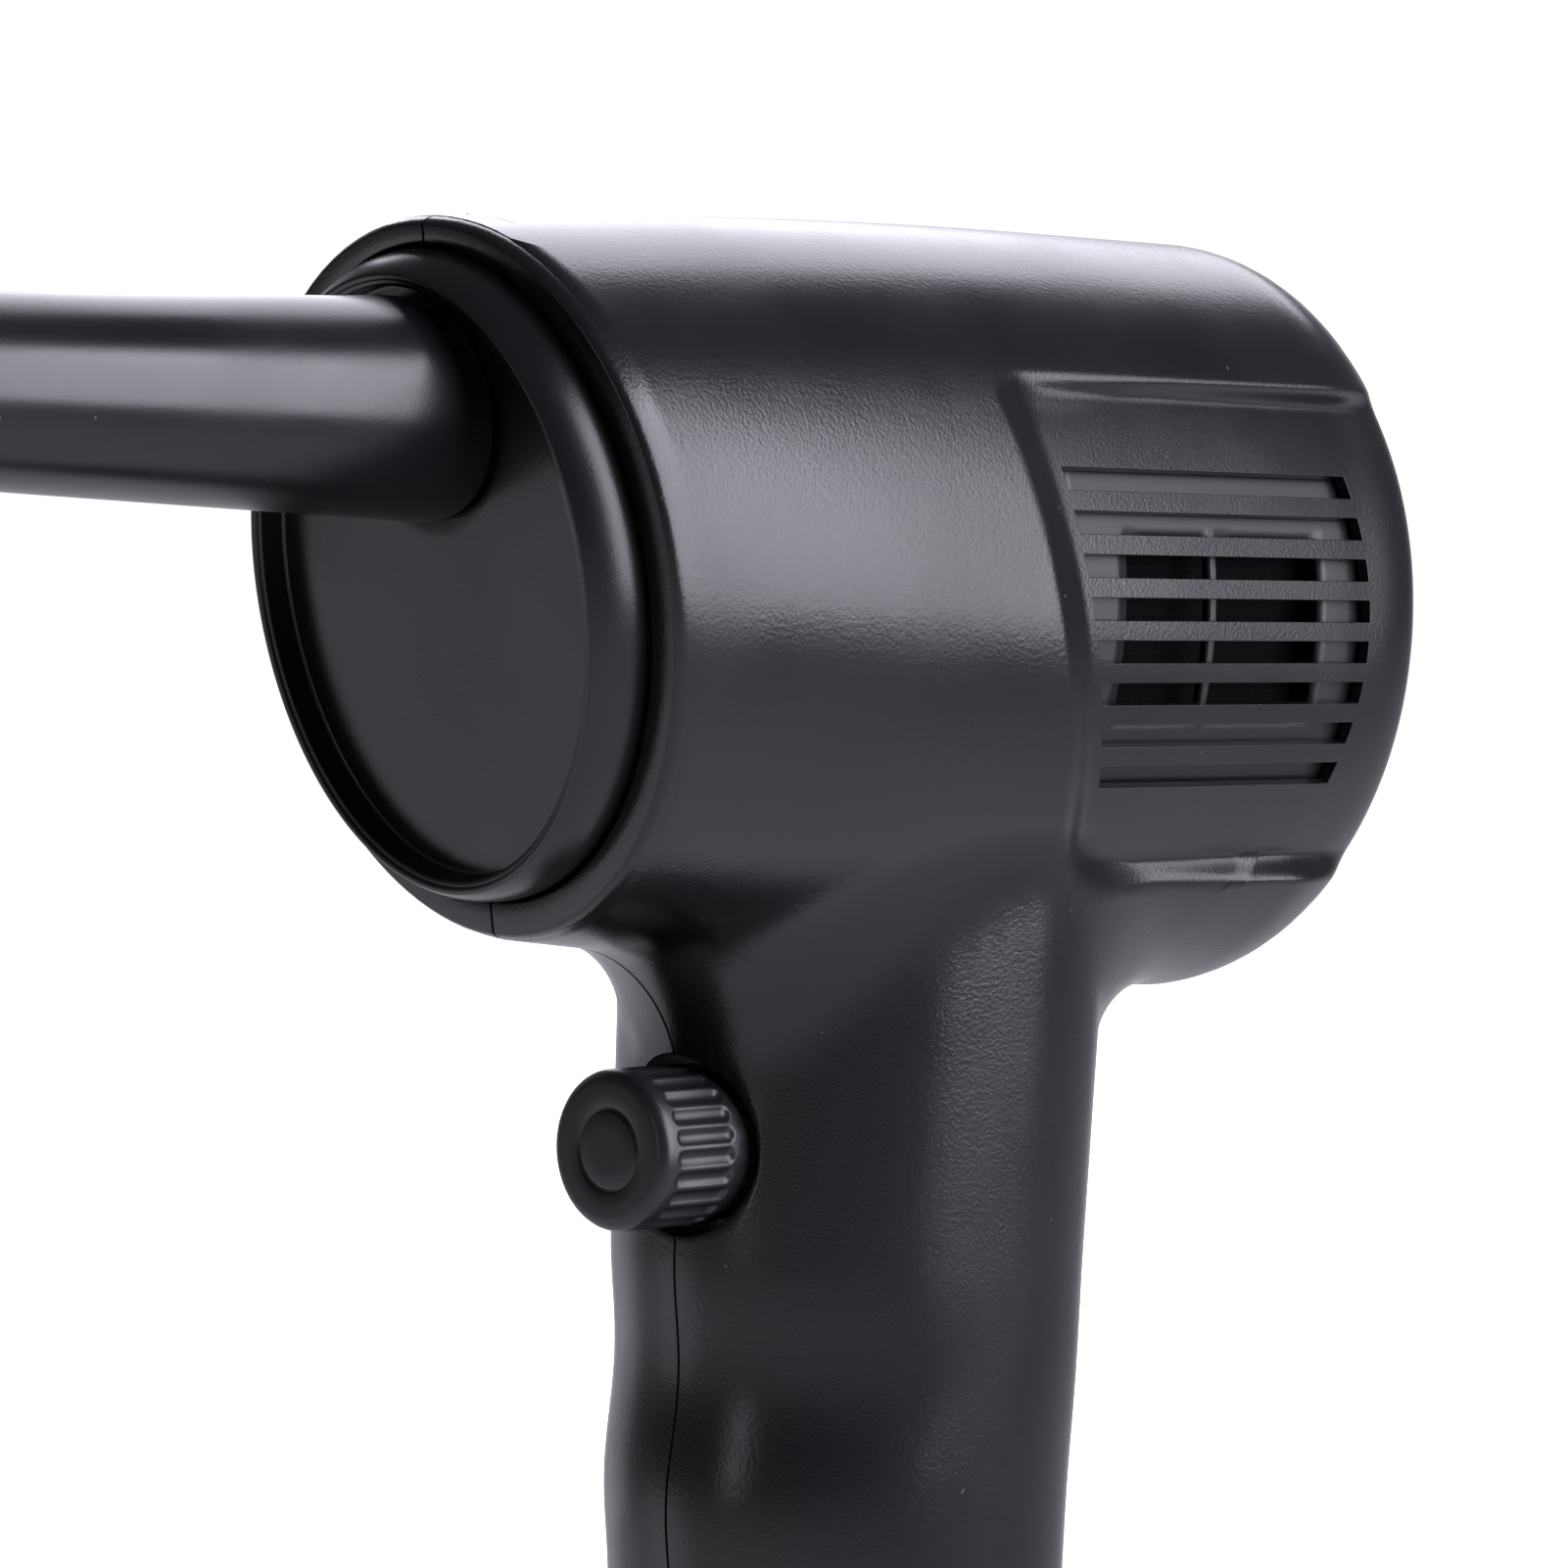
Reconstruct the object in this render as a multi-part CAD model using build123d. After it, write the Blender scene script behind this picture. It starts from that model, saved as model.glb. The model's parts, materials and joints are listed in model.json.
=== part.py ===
from build123d import *
import math
import os

# Cordless handheld blower: two half shells with a slanted oval face, a round pull-off nozzle,
# a speed dial on the grip, side intakes, a ducted fan in the barrel and two cells in the grip.
# Millimetres. +Z is up, -Y is the way the air leaves, X = 0 is the parting plane of the shells.
# The origin is the centre of the rubber foot's flat underside.

os.makedirs("parts", exist_ok=True)

# ---------------------------------------------------------------- driving dimensions
WALL = 2.2                  # shell wall
PARTING_GAP = 0.12          # each shell stops this far short of X = 0
FIT = 0.15                  # assembly clearance between fixed pieces

# barrel: ellipses (y, half width, top z, bottom z) behind the slanted face
FACE_Y = -55.3
FACE_Z = 156.8
FACE_W = 28.3
FACE_H = 33.3
FACE_SLANT = 11.0
FACE_EDGE = 1.2
BARREL_SECTIONS = [(-22.0, 29.2, 191.1, 119.9), (12.0, 30.0, 191.7, 118.0), (38.0, 30.4, 191.7, 116.2)]
REAR_Y = 57.8
REAR_RADIUS = 19.0
NECK_RADIUS = 14.0

# grip
GRIP_W_TOP = 23.4           # half width where the grip meets the barrel
GRIP_D_TOP = 24.6           # half depth there
GRIP_TAPER = 0.017
GRIP_TOP = 142.0
SHELL_BOTTOM = 4.0
FINGER_DIPS = [81.0, 57.0, 33.0]
FINGER_PITCH = 24.0
FINGER_DEPTH = 1.1

# front cup
OPENING_W = 24.6
OPENING_H = 30.1
CUP_W = 24.4             # half width where it leaves the housing's mouth
CUP_H = 29.9
RIM_W = 22.4             # and at its rim
RIM_H = 28.3
CUP_PROUD = 5.1
CUP_LIP = 1.0
LIP_STEP = 0.3
CUP_RECESS = 3.0
CUP_FLOOR = 2.0

# nozzle and the socket it slides in
NOZZLE_Z = 171.7
NOZZLE_ROOT_R = 10.1
NOZZLE_ROOT_Y = -60.0
NOZZLE_TIP_Y = -166.0
NOZZLE_TAPER = 0.036
TIP_BORE = 4.7
TIP_STRAIGHT = 14.0
SPIGOT_R = 9.3
SPIGOT_LENGTH = 28.0
SPIGOT_PLAY = 0.08
SPIGOT_BORE = 7.8
SOCKET_WALL = 2.0
SOCKET_END = -33.0
SEAL_Y = -44.0
SEAL_T = 1.2

# speed dial
DIAL_Z = 103.3
DIAL_FRONT_Y = -33.3
DIAL_R = 7.65
DIAL_LENGTH = 12.6
POCKET_R = 8.65
POCKET_FLOOR_Y = -19.6
FLUTES = 24
FLUTE_CUTTER_R = 0.95
FLUTE_DEPTH = 0.4
FLUTE_ENDS = (2.0, 9.4)

# rotary control behind the dial
BUSH_R = 3.5
WELL_WALL = 1.8
SHAFT_DIAL_R = 3.0
SHAFT_PLAY = 0.03
CONTROL_FRONT = POCKET_FLOOR_Y + WELL_WALL + 0.1

# side vents
PANEL_DEPTH = 1.8
PANEL_WALL = 2.0
PANEL_CORNER = 2.5
PANEL_SLOPE = 45.0
PANEL_BASE_X = 19.0
SLOTS = 8
SLOT_TOP_Z = 168.1
SLOT_PITCH = 4.04
SLOT_HEIGHT = 2.15

# intake frames behind the vents
FRAME_X = 24.6
FRAME_T = 1.5
WINDOW_Y0, WINDOW_Y1 = 6.0, 34.5
WINDOW_Z0, WINDOW_Z1 = 145.6, 162.2
BAR_Y = 19.0
BAR_W = 1.6

# fan unit
FAN_Z = NOZZLE_Z
SHROUD_R = 16.4
SHROUD_BORE = 15.0
SHROUD_FRONT = -8.0
SHROUD_REAR = 30.0
DUCT_FRONT_BORE = 7.8
DUCT_REAR = SHROUD_FRONT - 0.1
RIB_T = 1.6
RING_R = 17.3
FAN_RIBS = [-4.0, 26.0]
VANES = 9
SLEEVE_R = 9.6
SLEEVE_BORE = 8.6
CAN_BORE = 7.8
MOTOR_FRONT = -4.0
MOTOR_REAR = 15.0
STATOR_Y = (0.5, 9.5)
TEETH = 6
MAGNET_R = 3.6
BEARING_R = 3.5
BEARING_W = 2.2
SHAFT_R = 1.5
IMPELLER_Y = (17.0, 27.0)
HUB_R = 9.4
BLADE_R = 14.5
BLADES = 11

# cells and boards in the grip
CELL_R = 9.2
CELL_LENGTH = 65.0
CELL_BOTTOM = 18.0
CELL_OFFSET = 9.35
GRIP_HOLDER_W = 16.0
GRIP_HOLDER_D = 19.6
BOARD_Z = 139.0

# charge port, lights and foot
PORT_Z = 10.2
PORT_HALF_W = 4.8
PORT_HALF_H = 1.9
PORT_MOUTH = 21.6
LIGHTS = [58.0, 62.0, 66.0, 70.0]
LIGHT_R = 0.9
PAD_T = 1.6

# case screws, driven from the left half into bosses on the right half
BOSS_R = 3.2
SCREW_CORE = 1.05
SCREW_CLEAR = 1.4
SCREW_REACH = 9.0
SCREW_SEAT = 6.0
HEAD_R = 2.4
HEAD_RECESS_R = 2.55
# (y, z) of each screw
SCREWS = [(-40.0, 134.0), (50.0, 178.0), (50.0, 131.0), (12.0, 122.0), (0.0, 89.5), (-12.5, 12.0)]


# ---------------------------------------------------------------- small helpers
def box(x, y, z):
    """A box from three (low, high) pairs."""
    centre = [(a + b) / 2 for a, b in (x, y, z)]
    size = [b - a for a, b in (x, y, z)]
    return Pos(*centre) * Box(*size)


def rod_x(radius, x0, x1, y, z):
    return Pos((x0 + x1) / 2, y, z) * Rot(0, 90, 0) * Cylinder(radius, abs(x1 - x0))


def rod_y(radius, y0, y1, x=0.0, z=FAN_Z):
    return Pos(x, (y0 + y1) / 2, z) * Rot(90, 0, 0) * Cylinder(radius, y1 - y0)


def rod_z(radius, z0, z1, x=0.0, y=0.0):
    return Pos(x, y, (z0 + z1) / 2) * Cylinder(radius, z1 - z0)


def tube_y(outer, inner, y0, y1, x=0.0, z=FAN_Z):
    return rod_y(outer, y0, y1, x, z) - rod_y(inner, y0 - 1, y1 + 1, x, z)


def turned_y(points, z):
    """A solid of revolution about the axis along Y at height z, from (radius, y) points."""
    outline = [(r, 0, y) for r, y in points]
    profile = make_face(Polyline(*outline, close=True))
    return Pos(0, 0, z) * Rot(-90, 0, 0) * revolve(profile, Axis.Z)


def face_plane(depth):
    """The slanted plane of the face, moved back into the barrel by depth."""
    slant = math.radians(FACE_SLANT)
    normal = Vector(0, -math.cos(slant), -math.sin(slant))
    return Plane(origin=Vector(0, FACE_Y, FACE_Z) - normal * depth, x_dir=(1, 0, 0), z_dir=normal)


def face_block(half_w, half_h, front, back):
    """An oval block square to the slanted face, from depth front to depth back."""
    return extrude(face_plane(back) * Ellipse(half_w, half_h), back - front)


def upright(y):
    return Plane(origin=(0, y, 0), x_dir=(1, 0, 0), z_dir=(0, -1, 0))


# ---------------------------------------------------------------- housing outline
def barrel(inset, rear_extra=0.0):
    """The barrel inside its outer surface by inset; its rear edge is fully rounded."""
    sections = [face_plane(inset) * Ellipse(FACE_W - inset, FACE_H - inset)]
    for y, half_w, top, bottom in BARREL_SECTIONS:
        half_h = (top - bottom) / 2 - inset
        sections.append(upright(y) * Pos(0, (top + bottom) / 2) * Ellipse(half_w - inset, half_h))
    y, half_w, top, bottom = BARREL_SECTIONS[-1]
    rear = upright(REAR_Y - inset + rear_extra) * Pos(0, (top + bottom) / 2)
    sections.append(rear * Ellipse(half_w - inset, (top - bottom) / 2 - inset))
    solid = loft(sections)
    rear_edge = solid.edges().sort_by(Axis.Y)[-1]
    return fillet(rear_edge, REAR_RADIUS - inset)


def grip_half_width(z):
    return GRIP_W_TOP + GRIP_TAPER * (z - GRIP_TOP)


def grip_half_depth(z):
    return GRIP_D_TOP + GRIP_TAPER * (z - GRIP_TOP)


def finger_dip(z):
    """How far the front of the grip is dished at height z: three shallow waves."""
    low = FINGER_DIPS[-1] - FINGER_PITCH / 2
    high = FINGER_DIPS[0] + FINGER_PITCH / 2
    if not low < z < high:
        return 0.0
    return FINGER_DEPTH * (0.5 + 0.5 * math.cos(2 * math.pi * (z - FINGER_DIPS[0]) / FINGER_PITCH))


def grip(inset, bottom):
    """The grip inside its outer surface by inset, from height bottom up into the barrel."""
    step = FINGER_PITCH / 4
    sections = []
    for i in range(26):
        z = FINGER_DIPS[-1] + step * (i - 6)
        dip = finger_dip(z)
        outline = Pos(0, dip / 2) * Ellipse(grip_half_width(z) - inset, grip_half_depth(z) - inset - dip / 2)
        sections.append(Pos(0, 0, z) * outline)
    return loft(sections) & box((-40, 40), (-40, 40), (bottom, 200))


def half_space(side, gap=0.0):
    """Everything on one side of the parting plane, gap short of it."""
    return box(sorted((side * gap, side * 60.0)), (-80, 80), (-5, 200))


def half_outline(side, gap=0.0):
    """One side of the outer form, with the neck between barrel and grip blended."""
    cut = half_space(side)
    form = (barrel(0.0) & cut) + (grip(0.0, SHELL_BOTTOM) & cut)
    neck = []
    for edge in form.edges():
        span = edge.bounding_box()
        crosses = abs(span.max.X - span.min.X) > 5
        if crosses and span.min.Z > 110 and span.max.Z < 145 and -40 < span.min.Y and span.max.Y < 40:
            neck.append(edge)
    form = fillet(neck, NECK_RADIUS)
    front_edge = [e for e in form.edges() if e.center().Y < FACE_Y + 10 and e.bounding_box().max.Z > 185
                  and abs(e.bounding_box().max.X - e.bounding_box().min.X) > 10]
    form = fillet(front_edge, FACE_EDGE)
    return form & half_space(side, gap)


# ---------------------------------------------------------------- vent panel
def panel_outline():
    """The vent panel seen from the side, at the depth where its sloped walls start."""
    front = ThreePointArc((-6.0, 173.4), (4.6, 156.2), (7.6, 131.2))
    rest = Polyline((7.6, 131.2), (56.0, 130.4), (56.0, 174.2), (-6.0, 173.4))
    outline = make_face([front, rest])
    return fillet(outline.vertices().sort_by(Axis.X)[:2], PANEL_CORNER)


def panel_prism(side):
    """The panel's space, opening outward with walls that slope by PANEL_SLOPE."""
    plane = Plane(origin=(side * PANEL_BASE_X, 0, 0), x_dir=(0, 1, 0), z_dir=(side, 0, 0))
    outline = panel_outline()
    if side < 0:
        plane = Plane(origin=(side * PANEL_BASE_X, 0, 0), x_dir=(0, -1, 0), z_dir=(side, 0, 0))
        outline = mirror(outline, Plane.YZ)
    return extrude(plane * outline, 17.0, taper=-PANEL_SLOPE)


def panel_recess(side):
    """What is cut away outside the panel's floor."""
    floor = barrel(PANEL_DEPTH, rear_extra=PANEL_DEPTH + 3.0)
    return panel_prism(side) - floor


def panel_backing(side):
    """Extra wall behind the panel, so that its floor keeps its thickness."""
    shell = barrel(0.0) - barrel(PANEL_DEPTH + PANEL_WALL)
    block = box(sorted((side * 10.0, side * 40.0)), (-14, 56), (126, 182))
    return shell & block


def slot_ends(row):
    front = -3.3 + 0.75 * row + 0.06 * row ** 2
    back = 41.8 - 0.15 * (row - (SLOTS - 1) / 2) ** 2
    return front, back


def vent_slots(side):
    slots = []
    for row in range(SLOTS):
        front, back = slot_ends(row)
        z = SLOT_TOP_Z - SLOT_PITCH * row
        lean = 0.5
        points = [(front - lean, z + SLOT_HEIGHT / 2), (back - lean, z + SLOT_HEIGHT / 2),
                  (back + lean, z - SLOT_HEIGHT / 2), (front + lean, z - SLOT_HEIGHT / 2)]
        outline = make_face(Polyline(*points, close=True))
        outline = fillet(outline.vertices(), 0.4)
        plane = Plane(origin=(side * 18.0, 0, 0), x_dir=(0, 1, 0), z_dir=(1, 0, 0))
        slots.append(extrude(plane * outline, side * 20.0))
    return slots


def recessed_outline(side):
    """One side of the outer form with the vent panel sunk into it."""
    return (half_outline(side) - panel_recess(side)) & half_space(side, PARTING_GAP)


# ---------------------------------------------------------------- shells
def screw_boss(side, y, z, outer):
    """A boss from the wall to the parting plane: threaded on the right, recessed on the left."""
    boss = rod_x(BOSS_R, side * PARTING_GAP, side * 40.0, y, z) & outer
    if side > 0:
        return boss, rod_x(SCREW_CORE, 0, SCREW_REACH, y, z)
    hole = rod_x(SCREW_CLEAR, 0, -45.0, y, z) + rod_x(HEAD_RECESS_R, -SCREW_SEAT, -45.0, y, z)
    return boss, hole


def fan_rib(y, outer):
    """A web that holds one rubber ring of the fan."""
    web = box((-32, 32), (y - RIB_T / 2, y + RIB_T / 2), (150.0, 192.0)) & outer
    throat = rod_y(RING_R + FIT, y - 2, y + 2)
    web = web - throat - box((-12, 12), (y - 2, y + 2), (140, 172))
    for x in ((-24.9, -21.4), (21.4, 24.9)):
        web -= box(x, (y - 2, y + 2), (136.0, 171.0))
    return web


def board_ledge(side, outer):
    """A short ledge under one edge of the driver board."""
    return box(sorted((side * 15.5, side * 32.0)), (-25.0, -7.5), (BOARD_Z - 1.6, BOARD_Z - 0.1)) & outer


def shell(side):
    """One half shell of the housing with its bosses, ribs, dial well and openings."""
    outer = recessed_outline(side)
    body = outer - barrel(WALL) + (panel_backing(side) & outer)
    body -= grip(WALL, SHELL_BOTTOM - 1)
    body += rod_y(POCKET_R + WELL_WALL, -30.0, POCKET_FLOOR_Y + WELL_WALL, z=DIAL_Z) & outer
    body -= rod_y(POCKET_R, -40.0, POCKET_FLOOR_Y, z=DIAL_Z)
    body -= rod_y(BUSH_R + FIT, -30.0, -10.0, z=DIAL_Z)
    for y in FAN_RIBS:
        body += fan_rib(y, outer)
    body += board_ledge(side, outer)
    for y, z in SCREWS:
        boss, hole = screw_boss(side, y, z, outer)
        body = body + boss - hole
    body -= face_block(OPENING_W, OPENING_H, -3.0, 6.0)
    for slot in vent_slots(side):
        body -= slot
    body -= box((-PORT_HALF_W, PORT_HALF_W), (15, 30), (PORT_Z - PORT_HALF_H, PORT_Z + PORT_HALF_H))
    for z in LIGHTS:
        body -= rod_y(LIGHT_R + FIT / 2, 10, 30, z=z)
    return body.solids().sort_by(SortBy.VOLUME)[-1]


def screws():
    """Pan-head screws driven from the left side."""
    group = []
    for y, z in SCREWS:
        head = rod_x(HEAD_R, -SCREW_SEAT - 1.8, -SCREW_SEAT, y, z)
        slot = box((-SCREW_SEAT - 3, -SCREW_SEAT - 1.0), (y - 1.6, y + 1.6), (z - 0.3, z + 0.3))
        cross = box((-SCREW_SEAT - 3, -SCREW_SEAT - 1.0), (y - 0.3, y + 0.3), (z - 1.6, z + 1.6))
        shank = rod_x(SCREW_CORE - 0.02, -SCREW_SEAT - 0.5, SCREW_REACH - 1.0, y, z)
        group.append((head + shank) - slot - cross)
    return Compound(children=group)


# ---------------------------------------------------------------- front end
def front_cup():
    """The oval cup in the mouth of the housing, with the round socket for the nozzle behind it."""
    flank = loft([face_plane(0.0) * Ellipse(CUP_W, CUP_H), face_plane(-CUP_PROUD) * Ellipse(RIM_W, RIM_H)])
    rim = flank.edges().filter_by(GeomType.ELLIPSE).sort_by(Axis.Y)[0]
    flank = fillet(rim, LIP_STEP)
    wall = flank + face_block(CUP_W, CUP_H, -0.01, 6.0)
    flange = face_block(CUP_W + 1.6, CUP_H + 0.6, 2.6, 4.4)
    cup = wall + (flange & barrel(WALL + FIT))
    floor = -CUP_PROUD + CUP_RECESS
    bowl_w = RIM_W - CUP_LIP
    bowl_h = RIM_H - CUP_LIP
    step = CUP_LIP / 2
    cup -= face_block(bowl_w + step, bowl_h + step, -CUP_PROUD - 2, -CUP_PROUD + LIP_STEP)
    cup -= face_block(bowl_w, bowl_h, -CUP_PROUD - 2, floor)
    cup -= face_block(bowl_w, bowl_h, floor + CUP_FLOOR, 9.0)
    socket = rod_y(SPIGOT_R + SOCKET_WALL, -70.0, SOCKET_END)
    behind = face_block(60.0, 60.0, floor + 0.5, 60.0)
    cup += socket & behind
    cup -= rod_y(SPIGOT_R + SPIGOT_PLAY, -80.0, SOCKET_END - 2.0)
    return cup - rod_y(DUCT_FRONT_BORE, -80.0, SOCKET_END + 1)


def nozzle_radius(y):
    return NOZZLE_ROOT_R + NOZZLE_TAPER * (y - NOZZLE_ROOT_Y)


def nozzle_tube():
    """A tapered tube that stands on the cup's floor, with a plain spigot behind."""
    spigot_back = SOCKET_END - 2.0 - 0.3
    spigot_front = spigot_back - SPIGOT_LENGTH
    tip = nozzle_radius(NOZZLE_TIP_Y)
    body = turned_y([(0, NOZZLE_TIP_Y), (tip - 0.6, NOZZLE_TIP_Y), (tip, NOZZLE_TIP_Y + 0.6),
                     (NOZZLE_ROOT_R, NOZZLE_ROOT_Y), (NOZZLE_ROOT_R, -40.0), (0, -40.0)], NOZZLE_Z)
    floor = -CUP_PROUD + CUP_RECESS - 0.1
    body &= face_block(60.0, 60.0, -140.0, floor)
    body += rod_y(SPIGOT_R, spigot_front, spigot_back, z=NOZZLE_Z)
    groove = tube_y(SPIGOT_R + 1, SPIGOT_R - SEAL_T, SEAL_Y - 1.0, SEAL_Y + 1.0)
    bore = turned_y([(0, NOZZLE_TIP_Y - 1), (TIP_BORE, NOZZLE_TIP_Y - 1),
                     (TIP_BORE, NOZZLE_TIP_Y + TIP_STRAIGHT),
                     (SPIGOT_BORE, spigot_front), (SPIGOT_BORE, 0), (0, 0)], NOZZLE_Z)
    return body - groove - bore


def nozzle_seal():
    return tube_y(SPIGOT_R + SPIGOT_PLAY - 0.02, SPIGOT_R - SEAL_T + 0.02, SEAL_Y - 0.9, SEAL_Y + 0.9)


def outlet_duct():
    """A cone that carries the air from the fan's mouth to the nozzle socket."""
    outer = turned_y([(0, SOCKET_END + 0.1), (DUCT_FRONT_BORE + 1.6, SOCKET_END + 0.1),
                      (SHROUD_R - 0.4, DUCT_REAR - 4.0), (SHROUD_R - 0.4, DUCT_REAR), (0, DUCT_REAR)], FAN_Z)
    bore = turned_y([(0, SOCKET_END - 1), (DUCT_FRONT_BORE, SOCKET_END - 1),
                     (DUCT_FRONT_BORE, SOCKET_END + 0.1),
                     (SHROUD_BORE - 0.6, DUCT_REAR - 4.0), (SHROUD_BORE - 0.6, DUCT_REAR + 1),
                     (0, DUCT_REAR + 1)], FAN_Z)
    return outer - bore


# ---------------------------------------------------------------- side intakes
def intake_frame(side):
    """The plate behind the slots, with the window the air goes through and a bar across it."""
    x = side * FRAME_X
    plate = box(sorted((x, x - side * FRAME_T)), (-6.0, 45.0), (136.5, 170.5))
    plate = fillet(plate.edges().filter_by(Axis.X), 4.0)
    inside = barrel(PANEL_DEPTH + PANEL_WALL + FIT)
    plate &= inside
    for y0, y1 in ((WINDOW_Y0, BAR_Y - BAR_W / 2), (BAR_Y + BAR_W / 2, WINDOW_Y1)):
        plate -= box(sorted((side * 10.0, side * 30.0)), (y0, y1), (WINDOW_Z0, WINDOW_Z1))
    return plate.solids().sort_by(SortBy.VOLUME)[-1]


def dust_filter(side):
    """A fine pleated mesh pad clipped behind the window."""
    x = side * (FRAME_X - FRAME_T - 0.1)
    return box(sorted((x, x - side * 1.2)), (WINDOW_Y0 - 2, WINDOW_Y1 + 2), (WINDOW_Z0 - 2, WINDOW_Z1 + 2))


# ---------------------------------------------------------------- fan
def fan_shroud():
    """The fan's tube with a bell mouth behind, a motor sleeve in front and straightening vanes."""
    tube = turned_y([(SHROUD_BORE, SHROUD_FRONT), (SHROUD_R, SHROUD_FRONT), (SHROUD_R, SHROUD_REAR - 1.5),
                     (SHROUD_R + 0.6, SHROUD_REAR), (SHROUD_BORE + 0.6, SHROUD_REAR),
                     (SHROUD_BORE, SHROUD_REAR - 2.0)], FAN_Z)
    tube += tube_y(SLEEVE_R, SLEEVE_BORE, MOTOR_FRONT, MOTOR_REAR)
    for i in range(VANES):
        blade = Box(SHROUD_BORE - SLEEVE_R + 0.6, MOTOR_REAR - MOTOR_FRONT - 6.0, 0.8)
        blade = Rot(0, i * 360.0 / VANES, 0) * Pos((SHROUD_BORE + SLEEVE_R) / 2, 0, 0) * Rot(18, 0, 0) * blade
        tube += Pos(0, (MOTOR_FRONT + MOTOR_REAR) / 2, FAN_Z) * blade
    return tube.solids().sort_by(SortBy.VOLUME)[-1]


def fan_ring(y):
    """A rubber ring between the shroud and its rib."""
    return tube_y(RING_R, SHROUD_R + 0.02, y - 2.4, y + 2.4)


def motor_can():
    """The motor's closed-nosed can."""
    can = turned_y([(0, MOTOR_FRONT - 5.0), (3.0, MOTOR_FRONT - 4.2), (SLEEVE_BORE - 0.1, MOTOR_FRONT),
                    (SLEEVE_BORE - 0.1, MOTOR_REAR - 0.4), (CAN_BORE, MOTOR_REAR - 0.4),
                    (CAN_BORE, MOTOR_FRONT + 1.2), (BEARING_R, MOTOR_FRONT + 1.2),
                    (BEARING_R, MOTOR_FRONT - 2.2), (0, MOTOR_FRONT - 2.2)], FAN_Z)
    return can


def motor_end_cap():
    """The rear bearing's carrier, pressed into the can's open end."""
    return turned_y([(CAN_BORE - 0.02, MOTOR_REAR - 2.6), (CAN_BORE - 0.02, MOTOR_REAR - 0.4),
                     (4.2, MOTOR_REAR + 0.8), (2.2, MOTOR_REAR + 0.8), (2.2, MOTOR_REAR - 0.2),
                     (BEARING_R, MOTOR_REAR - 0.2), (BEARING_R, MOTOR_REAR - 2.6)], FAN_Z)


def stator_core():
    """A laminated ring with inward teeth."""
    y0, y1 = STATOR_Y
    core = tube_y(CAN_BORE - 0.02, 5.4, y0, y1)
    for i in range(TEETH):
        tooth = Rot(0, i * 360.0 / TEETH, 0) * Pos(4.9, 0, 0) * Box(1.6, y1 - y0, 1.8)
        core += Pos(0, (y0 + y1) / 2, FAN_Z) * tooth
    return core - rod_y(MAGNET_R + 0.45, y0 - 1, y1 + 1)


def windings():
    """The copper end turns at both faces of the core."""
    y0, y1 = STATOR_Y
    turns = []
    for a, b in ((y0 - 1.6, y0 - 0.05), (y1 + 0.05, y1 + 1.6)):
        turns.append(tube_y(CAN_BORE - 0.3, MAGNET_R + 1.0, a, b))
    return Compound(children=turns)


def bearing(y0):
    """A small deep-groove bearing, rings and shields as one race pack."""
    race = tube_y(BEARING_R - 0.01, SHAFT_R + SHAFT_PLAY, y0, y0 + BEARING_W)
    return race - tube_y(BEARING_R - 0.8, SHAFT_R + 0.8, y0 - 0.1, y0 + 0.25)


def rotor_shaft():
    return rod_y(SHAFT_R, MOTOR_FRONT - 1.9, IMPELLER_Y[1] + 3.0)


def rotor_magnet():
    y0, y1 = STATOR_Y
    return tube_y(MAGNET_R, SHAFT_R, y0 - 0.6, y1 + 0.6)


def impeller():
    """A mixed-flow wheel: a hub that widens toward the motor and twisted blades around it."""
    y0, y1 = IMPELLER_Y
    hub = turned_y([(SHAFT_R, y0), (HUB_R, y0), (HUB_R - 0.6, y0 + 3),
                    (HUB_R - 3.4, y1 - 1), (3.4, y1), (SHAFT_R, y1)],
                   FAN_Z)
    wheel = hub
    sweep_box = tube_y(BLADE_R, SHAFT_R + 0.6, y0, y1 - 0.6)
    for i in range(BLADES):
        blade = Pos((BLADE_R + HUB_R - 3.5) / 2, 0, 0) * Rot(38, 0, 0) * Box(BLADE_R - HUB_R + 5.5, 15.0, 0.7)
        blade = Pos(0, (y0 + y1) / 2, FAN_Z) * (Rot(0, i * 360.0 / BLADES, 0) * blade)
        wheel += blade & sweep_box
    return wheel.solids().sort_by(SortBy.VOLUME)[-1]


def impeller_nut():
    """A domed nut at the shaft's rear end."""
    y = IMPELLER_Y[1]
    nut = Pos(0, y + 1.3, FAN_Z) * Rot(90, 0, 0) * extrude(RegularPolygon(3.0, 6), 1.2, both=True)
    return nut - rod_y(SHAFT_R, y - 1, y + 5)


# ---------------------------------------------------------------- speed dial
def flutes():
    """The closed-ended flutes that ring the middle of the dial."""
    cuts = []
    reach = DIAL_R + FLUTE_CUTTER_R - FLUTE_DEPTH
    for i in range(FLUTES):
        angle = math.radians(i * 360.0 / FLUTES)
        x = reach * math.cos(angle)
        z = DIAL_Z + reach * math.sin(angle)
        cuts.append(rod_y(FLUTE_CUTTER_R, DIAL_FRONT_Y + FLUTE_ENDS[0], DIAL_FRONT_Y + FLUTE_ENDS[1], x, z))
    return cuts


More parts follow.
